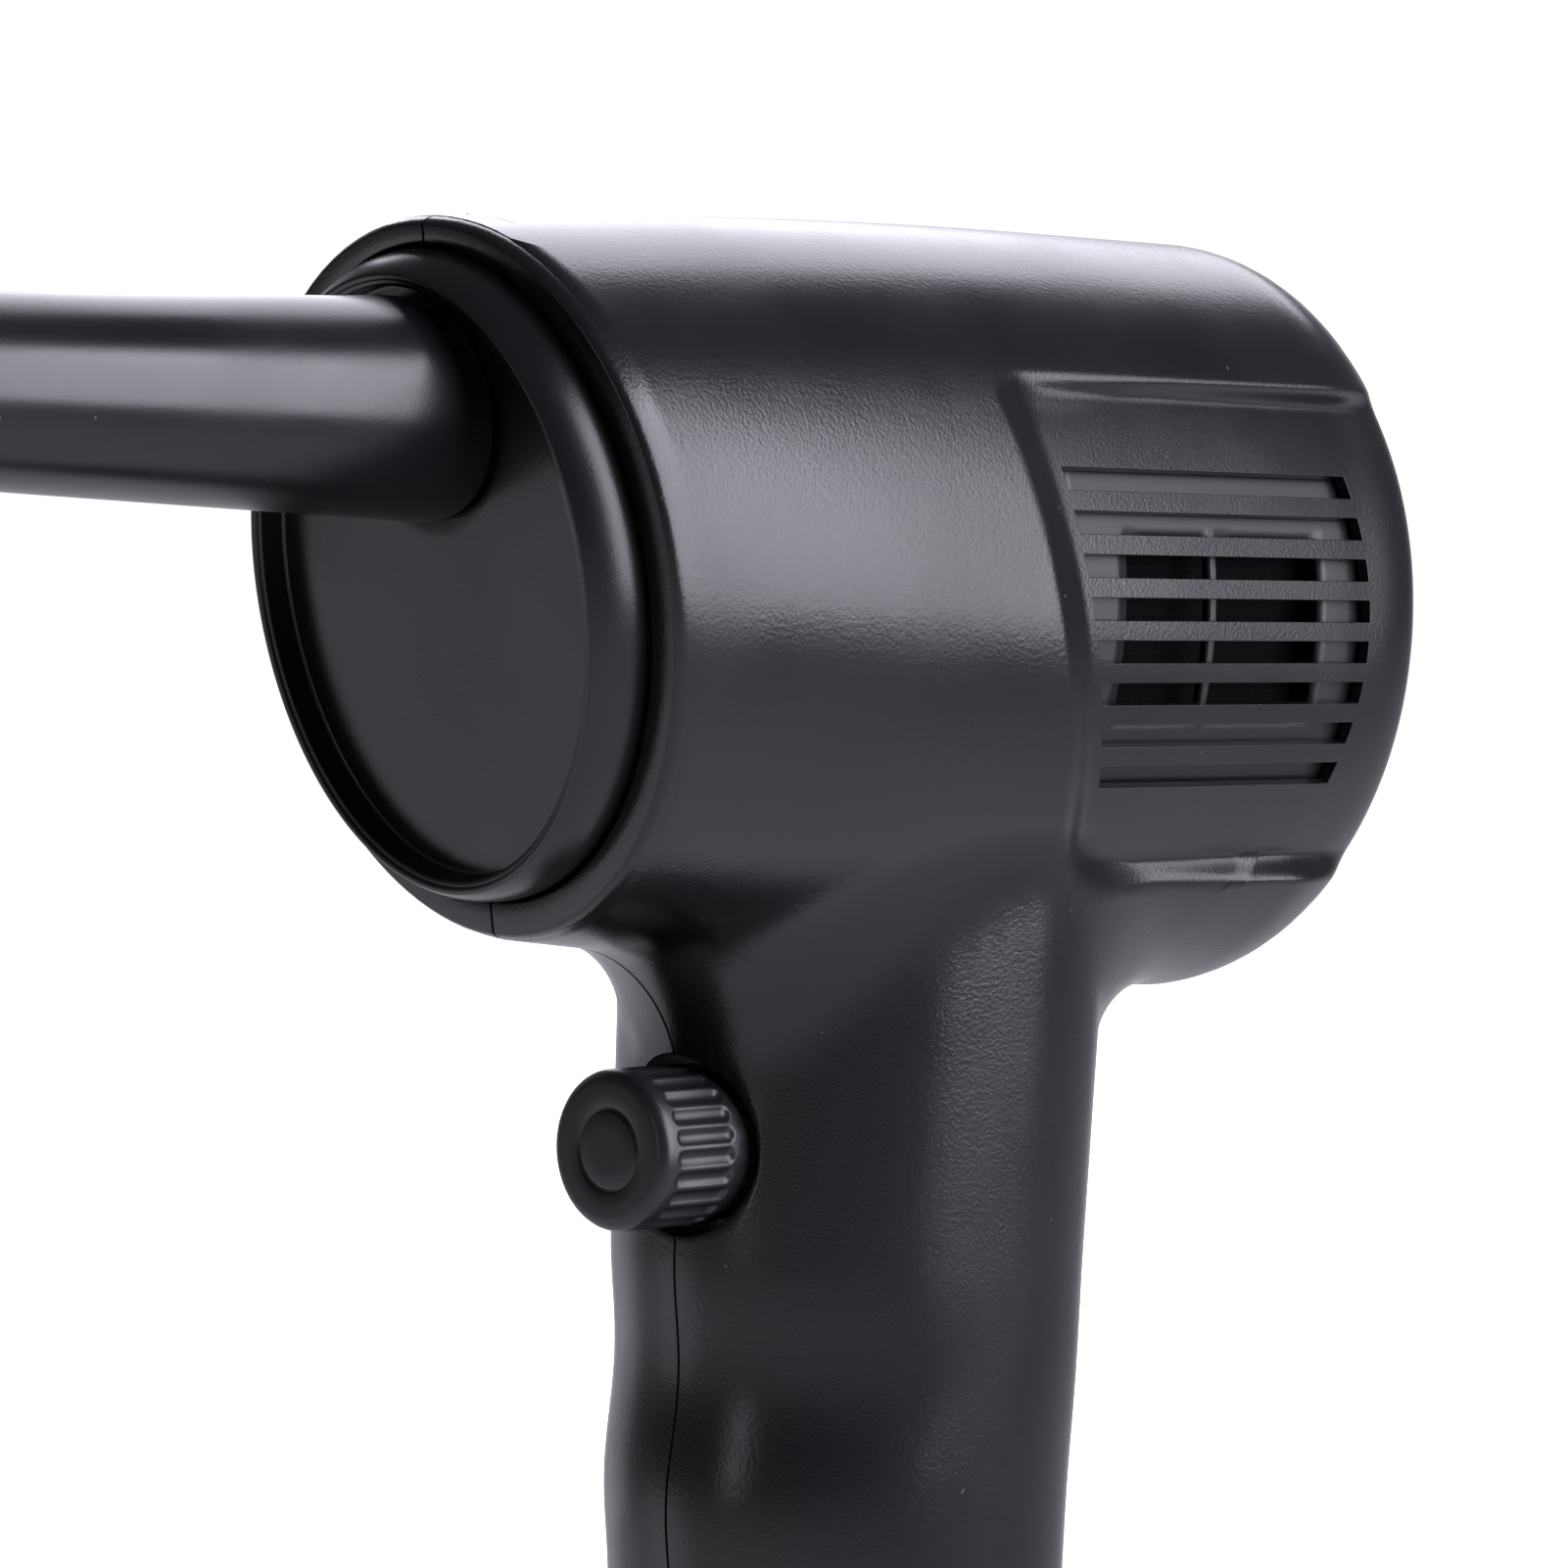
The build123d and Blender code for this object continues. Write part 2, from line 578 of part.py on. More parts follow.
def speed_dial():
    """The dial: rounded front edge, a ring groove in its face, flutes and a hollow back."""
    back = DIAL_FRONT_Y + DIAL_LENGTH
    body = rod_y(DIAL_R, DIAL_FRONT_Y, back, z=DIAL_Z)
    body = fillet(body.edges().sort_by(Axis.Y)[0], 1.3)
    for cut in flutes():
        body -= cut
    body -= tube_y(4.2, 3.55, DIAL_FRONT_Y - 1, DIAL_FRONT_Y + 0.35, z=DIAL_Z)
    body -= rod_y(6.0, back - 4.0, back + 1, z=DIAL_Z)
    return body - rod_y(SHAFT_DIAL_R, DIAL_FRONT_Y + 3.0, back + 1, z=DIAL_Z)


def dial_shaft():
    """The control's metal shaft with its flat."""
    shaft = rod_y(SHAFT_DIAL_R - 0.01, DIAL_FRONT_Y + 3.2, CONTROL_FRONT + 3.0, z=DIAL_Z)
    flat = box((-4, 4), (DIAL_FRONT_Y, DIAL_FRONT_Y + 9.0), (DIAL_Z + 2.2, DIAL_Z + 5))
    return shaft - flat


def control_body():
    """The rotary control: threaded bush through the well's floor and a square body behind it."""
    bush = rod_y(BUSH_R, POCKET_FLOOR_Y - 3.2, CONTROL_FRONT, z=DIAL_Z)
    case = box((-8.0, 8.0), (CONTROL_FRONT, CONTROL_FRONT + 7.0), (DIAL_Z - 8.0, DIAL_Z + 8.0))
    case = fillet(case.edges().filter_by(Axis.Y), 1.0)
    return bush + case - rod_y(SHAFT_DIAL_R + SHAFT_PLAY, DIAL_FRONT_Y, CONTROL_FRONT + 3.4, z=DIAL_Z)


def control_nut():
    y = POCKET_FLOOR_Y
    nut = Pos(0, y - 1.15, DIAL_Z) * Rot(90, 0, 0) * extrude(RegularPolygon(5.4, 6), 1.0, both=True)
    return nut - rod_y(BUSH_R, y - 4, y + 1, z=DIAL_Z)


def control_board():
    y = CONTROL_FRONT + 7.1
    return box((-9.5, 9.5), (y, y + 1.6), (DIAL_Z - 8.5, DIAL_Z + 9.5))


# ---------------------------------------------------------------- electronics
def motor_board():
    """The driver board on its two ledges below the fan."""
    board = box((-17.0, 17.0), (-26.0, 24.0), (BOARD_Z, BOARD_Z + 1.6))
    for x in (-13, 13):
        board -= rod_z(1.6, BOARD_Z - 1, BOARD_Z + 3, x, -22)
    return board


def board_chips():
    """Six power transistors and the controller on the driver board."""
    chips = []
    for i in range(6):
        x = -10.5 + 4.2 * i
        chips.append(box((x - 1.6, x + 1.6), (-4.0, 2.0), (BOARD_Z + 1.65, BOARD_Z + 2.75)))
    chips.append(box((-3.5, 3.5), (6.0, 13.0), (BOARD_Z + 1.65, BOARD_Z + 2.6)))
    return Compound(children=chips)


def capacitors():
    """Two upright electrolytics under the driver board, in the mouth of the grip."""
    return Compound(children=[rod_z(3.9, BOARD_Z - 10.1, BOARD_Z - 0.1, x, -18.0) for x in (-5.0, 5.0)])


def cell(side):
    """One cylindrical cell with its button end."""
    y = side * CELL_OFFSET
    can = rod_z(CELL_R, CELL_BOTTOM, CELL_BOTTOM + CELL_LENGTH - 0.8, 0, y)
    can = fillet(can.edges(), 0.8)
    return can + rod_z(3.0, CELL_BOTTOM + CELL_LENGTH - 1.2, CELL_BOTTOM + CELL_LENGTH, 0, y)


def cell_holder(z0, z1):
    """A plastic end frame that cups both cells."""
    outline = Ellipse(GRIP_HOLDER_W, GRIP_HOLDER_D)
    frame = Pos(0, 0, (z0 + z1) / 2) * extrude(outline, (z1 - z0) / 2, both=True)
    for side in (-1, 1):
        frame -= rod_z(CELL_R + 0.1, CELL_BOTTOM, CELL_BOTTOM + CELL_LENGTH - 0.8, 0, side * CELL_OFFSET)
        frame -= rod_z(6.0, z0 - 1, z1 + 1, 0, side * CELL_OFFSET)
    return frame


def cell_strip(z):
    """A nickel strip across the two cell ends."""
    return box((-3.5, 3.5), (-CELL_OFFSET - 4.5, CELL_OFFSET + 4.5), (z, z + 0.25))


def charge_board():
    """The charge and protection board in the foot of the grip."""
    return box((-9.0, 9.0), (-8.0, 17.0), (PORT_Z - 3.3, PORT_Z - 1.7))


def charge_port_shell():
    """The metal shell of the charge socket, open at the back of the grip."""
    outer = box((-4.5, 4.5), (PORT_MOUTH - 8.0, PORT_MOUTH), (PORT_Z - 1.65, PORT_Z + 1.65))
    outer = fillet(outer.edges().filter_by(Axis.Y), 1.5)
    inner = box((-4.2, 4.2), (PORT_MOUTH - 7.2, PORT_MOUTH + 1), (PORT_Z - 1.35, PORT_Z + 1.35))
    return outer - fillet(inner.edges().filter_by(Axis.Y), 1.2)


def charge_port_tongue():
    return box((-3.3, 3.3), (PORT_MOUTH - 7.15, PORT_MOUTH - 0.8), (PORT_Z - 0.35, PORT_Z + 0.35))


def light_pipe():
    """A clear bar with four studs that show through the back of the grip."""
    z0, z1 = LIGHTS[0] - 2.2, LIGHTS[-1] + 2.2
    inner_y = grip_half_depth(LIGHTS[0]) - WALL - 0.5
    bar = box((-1.8, 1.8), (inner_y - 1.2, inner_y), (z0, z1))
    for z in LIGHTS:
        bar += rod_y(LIGHT_R, inner_y - 0.2, grip_half_depth(z) - 0.12, z=z)
    return bar


def light_board():
    """The flexible strip with the charge lights, behind the clear bar."""
    inner_y = grip_half_depth(LIGHTS[0]) - WALL - 0.5
    return box((-2.6, 2.6), (inner_y - 1.7, inner_y - 1.3), (LIGHTS[0] - 3.0, LIGHTS[-1] + 3.0))


def lead(side):
    """A battery lead, from the cells straight up the grip to the driver board."""
    return rod_z(1.1, CELL_BOTTOM + CELL_LENGTH + 0.6, BOARD_Z - 0.1, side * 13.0, 6.0)


# ---------------------------------------------------------------- base
def base_cap():
    """The end cap that closes the grip, with a rim that locates it in the shells."""
    w, d = grip_half_width(SHELL_BOTTOM), grip_half_depth(SHELL_BOTTOM)
    plate = Pos(0, 0, PAD_T * 0.5) * extrude(Ellipse(w, d), SHELL_BOTTOM - 0.15 - PAD_T * 0.5)
    plate = fillet(plate.edges().sort_by(Axis.Z)[0], 1.4)
    plug = Pos(0, 0, SHELL_BOTTOM - 0.5) * extrude(Ellipse(w - WALL - FIT, d - WALL - FIT), 2.0)
    hollow = Pos(0, 0, SHELL_BOTTOM - 0.8) * extrude(Ellipse(w - WALL - 1.8, d - WALL - 1.8), 4.0)
    recess = extrude(Ellipse(w - 4.0 + FIT, d - 4.0 + FIT), PAD_T)
    return plate + plug - hollow - recess


def base_pad():
    w, d = grip_half_width(SHELL_BOTTOM), grip_half_depth(SHELL_BOTTOM)
    return extrude(Ellipse(w - 4.0, d - 4.0), PAD_T)


# ---------------------------------------------------------------- write the pieces
def main():
    pieces = {
        "housing_right": shell(1),
        "housing_left": shell(-1),
        "housing_screws": screws(),
        "front_cup": front_cup(),
        "nozzle_tube": nozzle_tube(),
        "nozzle_seal": nozzle_seal(),
        "outlet_duct": outlet_duct(),
        "intake_frame_right": intake_frame(1),
        "intake_frame_left": intake_frame(-1),
        "dust_filter_right": dust_filter(1),
        "dust_filter_left": dust_filter(-1),
        "fan_shroud": fan_shroud(),
        "fan_ring_front": fan_ring(FAN_RIBS[0]),
        "fan_ring_rear": fan_ring(FAN_RIBS[1]),
        "motor_can": motor_can(),
        "motor_end_cap": motor_end_cap(),
        "stator_core": stator_core(),
        "stator_windings": windings(),
        "bearing_front": bearing(MOTOR_FRONT - 2.1),
        "bearing_rear": bearing(MOTOR_REAR - 2.5),
        "rotor_shaft": rotor_shaft(),
        "rotor_magnet": rotor_magnet(),
        "impeller": impeller(),
        "impeller_nut": impeller_nut(),
        "speed_dial": speed_dial(),
        "dial_shaft": dial_shaft(),
        "control_body": control_body(),
        "control_nut": control_nut(),
        "control_board": control_board(),
        "motor_board": motor_board(),
        "board_chips": board_chips(),
        "board_capacitors": capacitors(),
        "cell_front": cell(-1),
        "cell_rear": cell(1),
        "cell_holder_upper": cell_holder(CELL_BOTTOM + CELL_LENGTH - 6.0, CELL_BOTTOM + CELL_LENGTH + 0.2),
        "cell_holder_lower": cell_holder(CELL_BOTTOM - 1.2, CELL_BOTTOM + 5.0),
        "cell_strip_upper": cell_strip(CELL_BOTTOM + CELL_LENGTH + 0.25),
        "cell_strip_lower": cell_strip(CELL_BOTTOM - 1.5),
        "charge_board": charge_board(),
        "charge_port_shell": charge_port_shell(),
        "charge_port_tongue": charge_port_tongue(),
        "charge_light_pipe": light_pipe(),
        "charge_light_board": light_board(),
        "battery_lead_red": lead(1),
        "battery_lead_black": lead(-1),
        "base_cap": base_cap(),
        "base_pad": base_pad(),
    }
    for name, piece in pieces.items():
        export_step(piece, "parts/" + name + ".step")
        size = piece.bounding_box().size
        print(f"{name:22s} {piece.volume:10.1f} mm3  {size.X:6.1f} {size.Y:6.1f} {size.Z:6.1f}")


main()
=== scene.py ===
import json
import math

import bmesh
import bpy
import numpy as np
from mathutils import Matrix, Vector


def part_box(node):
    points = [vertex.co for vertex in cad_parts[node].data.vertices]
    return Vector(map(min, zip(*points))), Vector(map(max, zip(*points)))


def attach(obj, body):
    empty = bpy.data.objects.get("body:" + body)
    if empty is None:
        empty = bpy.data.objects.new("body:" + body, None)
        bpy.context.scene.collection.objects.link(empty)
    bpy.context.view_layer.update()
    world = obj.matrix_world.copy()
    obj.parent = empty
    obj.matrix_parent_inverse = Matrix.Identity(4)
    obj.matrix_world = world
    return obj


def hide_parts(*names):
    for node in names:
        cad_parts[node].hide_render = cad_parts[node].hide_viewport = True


# A small black handheld blower. Sizes are millimetres until a mesh is made, then metres.
# X = 0 is the parting plane of the two half shells, -Y the way the air leaves, +Z up.

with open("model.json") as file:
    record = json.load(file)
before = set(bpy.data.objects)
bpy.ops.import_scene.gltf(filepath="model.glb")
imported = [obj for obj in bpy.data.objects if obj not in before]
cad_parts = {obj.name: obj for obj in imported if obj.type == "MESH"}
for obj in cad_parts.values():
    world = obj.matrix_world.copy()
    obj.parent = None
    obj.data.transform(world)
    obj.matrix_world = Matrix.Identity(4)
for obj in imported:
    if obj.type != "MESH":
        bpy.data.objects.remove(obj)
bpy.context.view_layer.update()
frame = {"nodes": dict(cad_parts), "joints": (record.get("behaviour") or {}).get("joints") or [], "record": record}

MM = 0.001


def box_mm(node):
    """Lowest and highest corner of a CAD node, in millimetres."""
    low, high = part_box(node)
    return low / MM, high / MM


def joint_mm(name):
    """The point a joint turns about, in millimetres."""
    joint = next(j for j in frame["joints"] if j["name"] == name)
    return Vector(joint["pos_m"]) / MM


# -------- driving dimensions
shell_low, shell_high = box_mm("housing_right")

PARTING_GAP = shell_low.x  # each half stops this far short of X = 0
WALL = 2.0
BOTTOM_Z = shell_low.z
REAR_Y = shell_high.y
REAR_R = 19.0
NECK_R = 14.0
NOZZLE_Z = joint_mm("fan_spin").z
DIAL_Z = joint_mm("dial_turn").z

# barrel: half width along y, and the top and the underside of its oval section
WIDTH_Y = [-62.0, -22.0, 12.0, 38.0]
HALF_WIDTH = [28.1, 29.2, 30.0, 30.4]
TOP_Z = 191.75
TOP_FLAT_Y = 20.0  # the top is level behind this y and curves down ahead of it
TOP_CURVE = 0.00042
UNDER_Z = 118.0  # at UNDER_Y; the underside curves up ahead of it
UNDER_Y = 12.0
UNDER_SLOPE = 0.0693
UNDER_CURVE = 0.00043
UNDER_LOWEST = 116.1

# slanted face: centre, outer oval, opening and slope
FACE_Y = -55.3
FACE_Z = 156.8
FACE_H = 33.3
SLANT = math.radians(11.0)
OPENING_W = 24.6
OPENING_H = 30.1
FACE_ROUND = 1.9  # the face's edge turns through FACE_TURN, then a small corner
FACE_TURN = 42.0
FACE_CORNER = 0.35
FACE_WALL = 6.0
OPENING_ROUND = 0.35
FACE_AHEAD = np.array([0.0, -math.cos(SLANT), -math.sin(SLANT)])
FACE_UP = np.array([0.0, -math.sin(SLANT), math.cos(SLANT)])
FACE_MIDDLE = np.array([0.0, FACE_Y, FACE_Z])

# grip: half width, half depth where it meets the barrel, and their growth per mm of height
GRIP_W = 23.4
GRIP_D = 24.6
GRIP_TAPER = 0.017
GRIP_TOP = 142.0
DIP_TOP = 93.0
DIP_BOTTOM = 21.0
DIP_PITCH = 24.0
DIP_PHASE = 81.0
DIP_DEPTH = 1.1

# dial pocket, with its floor's hole for the dial's bush
POCKET_R = 8.65
POCKET_FLOOR = -19.6
BUSH_R = 3.65

# the grip's back: four indicator lights, and the charging port with its half width and half height
LIGHT_Z = [58.0, 62.0, 66.0, 70.0]
LIGHT_R = 0.975
PORT_Z = 10.2
PORT_W = 4.8
PORT_H = 1.9

# vent panel: depth, outline and the width of its sloping rims
PANEL_DEPTH = 1.8  # at PANEL_MID_Y; it deepens by PANEL_TILT of that per mm rearward
PANEL_MID_Y = 12.0
PANEL_TILT = 0.018
PANEL_MID_Z = 155.0
PANEL_TOP_Z = 178.1
PANEL_BOTTOM_Z = 128.5
PANEL_FRONT = (-6.6, -0.299, 0.0029)  # its front rim's y at PANEL_MID_Z, with slope and curve by height
PANEL_TURN_TOP = (-6.0, 0.05)  # ahead of this y a rim turns in by the factor times distance ** 1.5
PANEL_TURN_BOTTOM = (12.0, 0.045)
PANEL_BLEND = 0.9  # softness where two rims meet
PANEL_RUN_OUT = (0.05, 0.76)  # shares of the rear rounding between which it fades away
PANEL_REACH = (-10.0, 40.0)  # y between which it deepens
PANEL_MIN_X = 12.0  # it lies on the flank only
PANEL_RIM_FRONT = 5.4
PANEL_RIM_TOP = 2.7
PANEL_RIM_BOTTOM = 3.2
PANEL_WALL = 0.55  # share of the wall's thickness left in the panel
SLEEVE_WALL = 0.1  # and in the sleeves of recesses

# slots in the panel: height of the first one's middle, pitch, height and their ends
SLOTS = 8
SLOT_TOP_Z = 168.1
SLOT_PITCH = 4.04
SLOT_HEIGHT = 2.15
SLOT_LEFT = (-3.3, 0.75, 0.06)  # y of the front ends, with slope and curve by row
SLOT_RIGHT = (41.8, -0.15)  # y of the rear ends at the middle row, with curve by row

# plate behind the slots: its y and z reach, its window's, and the bar across the window
PLATE = (-2.0, 43.0, 138.4, 171.0)
WINDOW = (6.0, 35.5, 145.4, 162.6)
BAR_Y = 19.0
BAR_W = 0.9
PLATE_GAP = 0.5
PLATE_T = 1.0

# screw recesses of the left half: (y, z)
SCREWS = [(50.0, 178.0), (50.0, 131.0), (12.0, 122.0), (0.0, 89.5), (-12.5, 12.0)]
SCREW_RECESS_R = 2.55
SCREW_HOLE_R = 1.4
SCREW_SEAT_X = 6.0
SCREW_SLEEVE_X = 12.0  # a ring of points on the way down to the seat


# -------- the housing's form
def smooth(low, high, value):
    """0 below low, 1 above high, with a soft S between."""
    t = np.clip((value - low) / (high - low), 0.0, 1.0)
    return t * t * (3.0 - 2.0 * t)


def barrel_section(y):
    """Half width, half height and centre height of the barrel's oval at y."""
    width = np.interp(y, WIDTH_Y, HALF_WIDTH)
    top = TOP_Z - TOP_CURVE * (np.minimum(y, TOP_FLAT_Y) - TOP_FLAT_Y) ** 2
    low = UNDER_Z - UNDER_SLOPE * (y - UNDER_Y) + UNDER_CURVE * (np.minimum(y, UNDER_Y) - UNDER_Y) ** 2
    low = np.maximum(low, UNDER_LOWEST)
    return width, (top - low) / 2, (top + low) / 2


def oval_distance(a, b, half_a, half_b):
    """Signed distance from an oval, near enough close to it, and the unit normal."""
    level = np.maximum(np.sqrt((a / half_a) ** 2 + (b / half_b) ** 2), 1e-6)
    grad_a = a / (half_a ** 2 * level)
    grad_b = b / (half_b ** 2 * level)
    size = np.maximum(np.sqrt(grad_a ** 2 + grad_b ** 2), 1e-9)
    return (level - 1.0) / size, grad_a / size, grad_b / size


def rear_share(y):
    """How far y lies along the rear rounding, from 0 to 1."""
    return np.clip((y - (REAR_Y - REAR_R)) / REAR_R, 0.0, 1.0)


def barrel_distance(x, y, z):
    """Signed distance from the barrel with its rounded rear, and x and z of its section's normal."""
    half_w, half_h, centre = barrel_section(y)
    side, nx, nz = oval_distance(x, z - centre, half_w, half_h)
    across = side + REAR_R
    along = y - (REAR_Y - REAR_R)
    outside = np.sqrt(np.maximum(across, 0.0) ** 2 + np.maximum(along, 0.0) ** 2)
    distance = outside + np.minimum(np.maximum(across, along), 0.0) - REAR_R
    return distance, nx, nz


def finger_dip(z):
    """How far the grip's front is hollowed for the fingers at height z."""
    wave = 0.5 + 0.5 * np.cos(2 * math.pi * (z - DIP_PHASE) / DIP_PITCH)
    return DIP_DEPTH * wave * ((z > DIP_BOTTOM) & (z < DIP_TOP))


def grip_section(z):
    """Half width, half depth and centre y of the grip's oval at height z."""
    dip = finger_dip(z)
    swell = GRIP_TAPER * (z - GRIP_TOP)
    return GRIP_W + swell, GRIP_D + swell - dip / 2, dip / 2


def form(x, y, z):
    """Signed distance from barrel and grip with the rounded neck between them."""
    d1, n1x, n1z = barrel_distance(x, y, z)
    half_w, half_d, centre = grip_section(z)
    d2, n2x, _ = oval_distance(x, y - centre, half_w, half_d)
    turn = np.arccos(np.clip(n1x * n2x, -1.0, 1.0))
    radius = NECK_R * (1.0 - np.cos(turn / 2)) / (1.0 - math.cos(math.pi / 4))
    u = np.maximum(radius - d1, 0.0)
    v = np.maximum(radius - d2, 0.0)
    return np.maximum(radius, np.minimum(d1, d2)) - np.sqrt(u * u + v * v)


def form_normal(p, step=0.02):
    """Unit normal of the form at points p, shape (..., 3)."""
    x, y, z = p[..., 0], p[..., 1], p[..., 2]
    n = np.stack([form(x + step, y, z) - form(x - step, y, z),
                  form(x, y + step, z) - form(x, y - step, z),
                  form(x, y, z + step) - form(x, y, z - step)], axis=-1)
    return n / np.linalg.norm(n, axis=-1, keepdims=True)


def solve(inside, outside):
    """Where the lines from inside to outside points cross the form."""
    a, b = inside.copy(), outside.copy()
    for _ in range(36):
        m = (a + b) / 2
        out = (form(m[..., 0], m[..., 1], m[..., 2]) > 0)[..., None]
        b = np.where(out, m, b)
        a = np.where(out, a, m)
    return (a + b) / 2


# -------- vent panel
def panel_front(z):
    """The y of the panel's front rim at height z."""
    start, slope, curve = PANEL_FRONT
    h = z - PANEL_MID_Z
    return start + slope * h + curve * h * h


def soft_min(values, blend):
    """The least of several values, rounded over where two come within blend of each other."""
    low = values[0]
    for other in values[1:]:
        h = np.maximum(blend - np.abs(low - other), 0.0) / blend
        low = np.minimum(low, other) - h * h * blend / 4
    return low


def panel_depth(p):
    """How far the surface is set in at points p."""
    y, z = p[..., 1], p[..., 2]

    def turn_in(start, factor):
        """How far a rim has turned in at y."""
        return factor * np.maximum(start - y, 0.0) ** 1.5

    front = (y - panel_front(z)) / PANEL_RIM_FRONT
    top = (PANEL_TOP_Z - turn_in(*PANEL_TURN_TOP) - z) / PANEL_RIM_TOP
    bottom = (z - PANEL_BOTTOM_Z - turn_in(*PANEL_TURN_BOTTOM)) / PANEL_RIM_BOTTOM
    share = smooth(0.0, 1.0, soft_min([front, top, bottom], PANEL_BLEND))
    depth = PANEL_DEPTH * (1.0 - smooth(*PANEL_RUN_OUT, rear_share(y)))
    deepen = 1.0 + PANEL_TILT * (np.clip(y, *PANEL_REACH) - PANEL_MID_Y)
    return share * depth * deepen * (p[..., 0] > PANEL_MIN_X)


def slot_row(z):
    """The slots' row at height z, counted down from the first."""
    return (SLOT_TOP_Z - z) / SLOT_PITCH


def slot_left(z):
    """The y of the slots' front ends at height z."""
    start, slope, curve = SLOT_LEFT
    row = slot_row(z)
    return start + slope * row + curve * row ** 2


def slot_right(z):
    """The y of the slots' rear ends at height z."""
    middle, curve = SLOT_RIGHT
    return middle + curve * (slot_row(z) - (SLOTS - 1) / 2) ** 2


# -------- grids of the housing
MID_Z = 154.9  # nominal centre and half height of the barrel's oval
HALF_H = 37.0
PATCH_Z = 137.0  # the neck's patch replaces the barrel's grid below this
PATCH_FRONT = -40.5
RING_Z = 100.0  # the patch ends on the grip at this height
LOW_RIM = (126.6, 132.6)  # heights of the panel's lower and upper rim, where lines are closer
HIGH_RIM = (174.6, 179.0)
ABOVE_SLOTS_Z = 170.2
LAST_FLAT_Z = 181.6  # above this, lines are spaced by angle
CORNER_GAP = 1.7  # from the face's corner to the first cross line
MIDDLE_LINE_Y = -17.5
FRONT_RIM = (-0.7, 5.2)  # cross lines are closer from here to there about the panel's front
REAR_LINE_Y = 46.0
LAST_LINE_Y = 52.0  # the grid's last cross line, where the rear rows begin
SLOT_MARGIN = 1.1  # the slots' ends are followed this far past the outer slots' middles
PANEL_SPAN = (128.0, 179.5)  # heights between which cross lines follow the panel's front rim
LEVEL_SHARE = (0.73, 0.92)  # shares of HALF_H between which long lines stop keeping their height
LEVEL_FRONT = (-36.0, -18.0)  # and the y between which they start, from the face
LEVEL_REAR = (43.0, 53.0)  # and stop, toward the rear


def spread(low, high, count):
    """count values from low up to, but without, high."""
    return list(np.linspace(low, high, count, endpoint=False))


def height_lines():
    """Nominal heights of the barrel's long lines, from the bottom round to the top."""
    pole = [MID_Z + HALF_H * math.sin(math.radians(a)) for a in range(-90, -51, 3)]
    lines = pole + spread(*LOW_RIM, 22) + spread(LOW_RIM[1], PATCH_Z, 4) + [PATCH_Z]
    for row in reversed(range(SLOTS)):
        low = SLOT_TOP_Z - SLOT_PITCH * row - SLOT_HEIGHT / 2
        high = low + SLOT_HEIGHT
        next_low = low + SLOT_PITCH if row else ABOVE_SLOTS_Z
        lines += spread(low, high, 3) + spread(high, next_low, 3)
    lines += spread(ABOVE_SLOTS_Z, HIGH_RIM[0], 5) + spread(*HIGH_RIM, 20)
    lines += spread(HIGH_RIM[1], LAST_FLAT_Z, 3)
    lines += [MID_Z + HALF_H * math.sin(math.radians(a)) for a in range(46, 91, 4)]
    return np.array(lines)


def slot_cells(lines):
    """For each cell between height lines, whether it lies in a slot."""
    middle = (lines[:-1] + lines[1:]) / 2
    row = np.round(slot_row(middle))
    inside = np.abs(SLOT_TOP_Z - SLOT_PITCH * row - middle) < SLOT_HEIGHT / 2
    return inside & (row >= 0) & (row < SLOTS)


def face_corner(zeta):
    """Where the barrel's long lines meet the plane of the slanted face."""
    y = FACE_Y + 0 * zeta
    for _ in range(10):
        corner = barrel_at_height(y, zeta)
        y = FACE_Y - (corner[:, 2] - FACE_Z) * math.tan(SLANT)
    return corner


def cross_lines(zeta):
    """The y of each cross line at nominal height zeta, and the columns that the slots lie between."""
    panel_z = np.clip(zeta, *PANEL_SPAN)
    lowest_slot = SLOT_TOP_Z - SLOT_PITCH * (SLOTS - 1)
    slot_z = np.clip(zeta, lowest_slot - SLOT_MARGIN, SLOT_TOP_Z + SLOT_MARGIN)
    level = 0 * zeta
    keys = [(face_corner(zeta)[:, 1] + CORNER_GAP, 8), (PATCH_FRONT + level, 9), (MIDDLE_LINE_Y + level, 5),
            (panel_front(panel_z) + FRONT_RIM[0], 14), (panel_front(panel_z) + FRONT_RIM[1], 3),
            (slot_left(slot_z), 22), (slot_right(slot_z), 4), (REAR_LINE_Y + level, 4),
            (LAST_LINE_Y + level, 0)]
    rows = []
    for (y0, cells), (y1, _) in zip(keys[:-1], keys[1:]):
        for i in range(cells):
            rows.append(y0 + (y1 - y0) * i / cells)
    rows.append(keys[-1][0])
    first = sum(cells for _, cells in keys[:5])
    return np.array(rows), first, first + keys[5][1], keys[0][1]


def barrel_point(y, angle):
    """The barrel's surface at y and section angle."""
    half_w, half_h, centre = barrel_section(y)
    inset = REAR_R * (1.0 - np.sqrt(1.0 - rear_share(y) ** 2))
    nx, nz = np.cos(angle) / half_w, np.sin(angle) / half_h
    size = np.sqrt(nx * nx + nz * nz)
    x = half_w * np.cos(angle) - inset * nx / size
    z = centre + half_h * np.sin(angle) - inset * nz / size
    return np.stack([x, y + 0 * x, z], axis=-1)


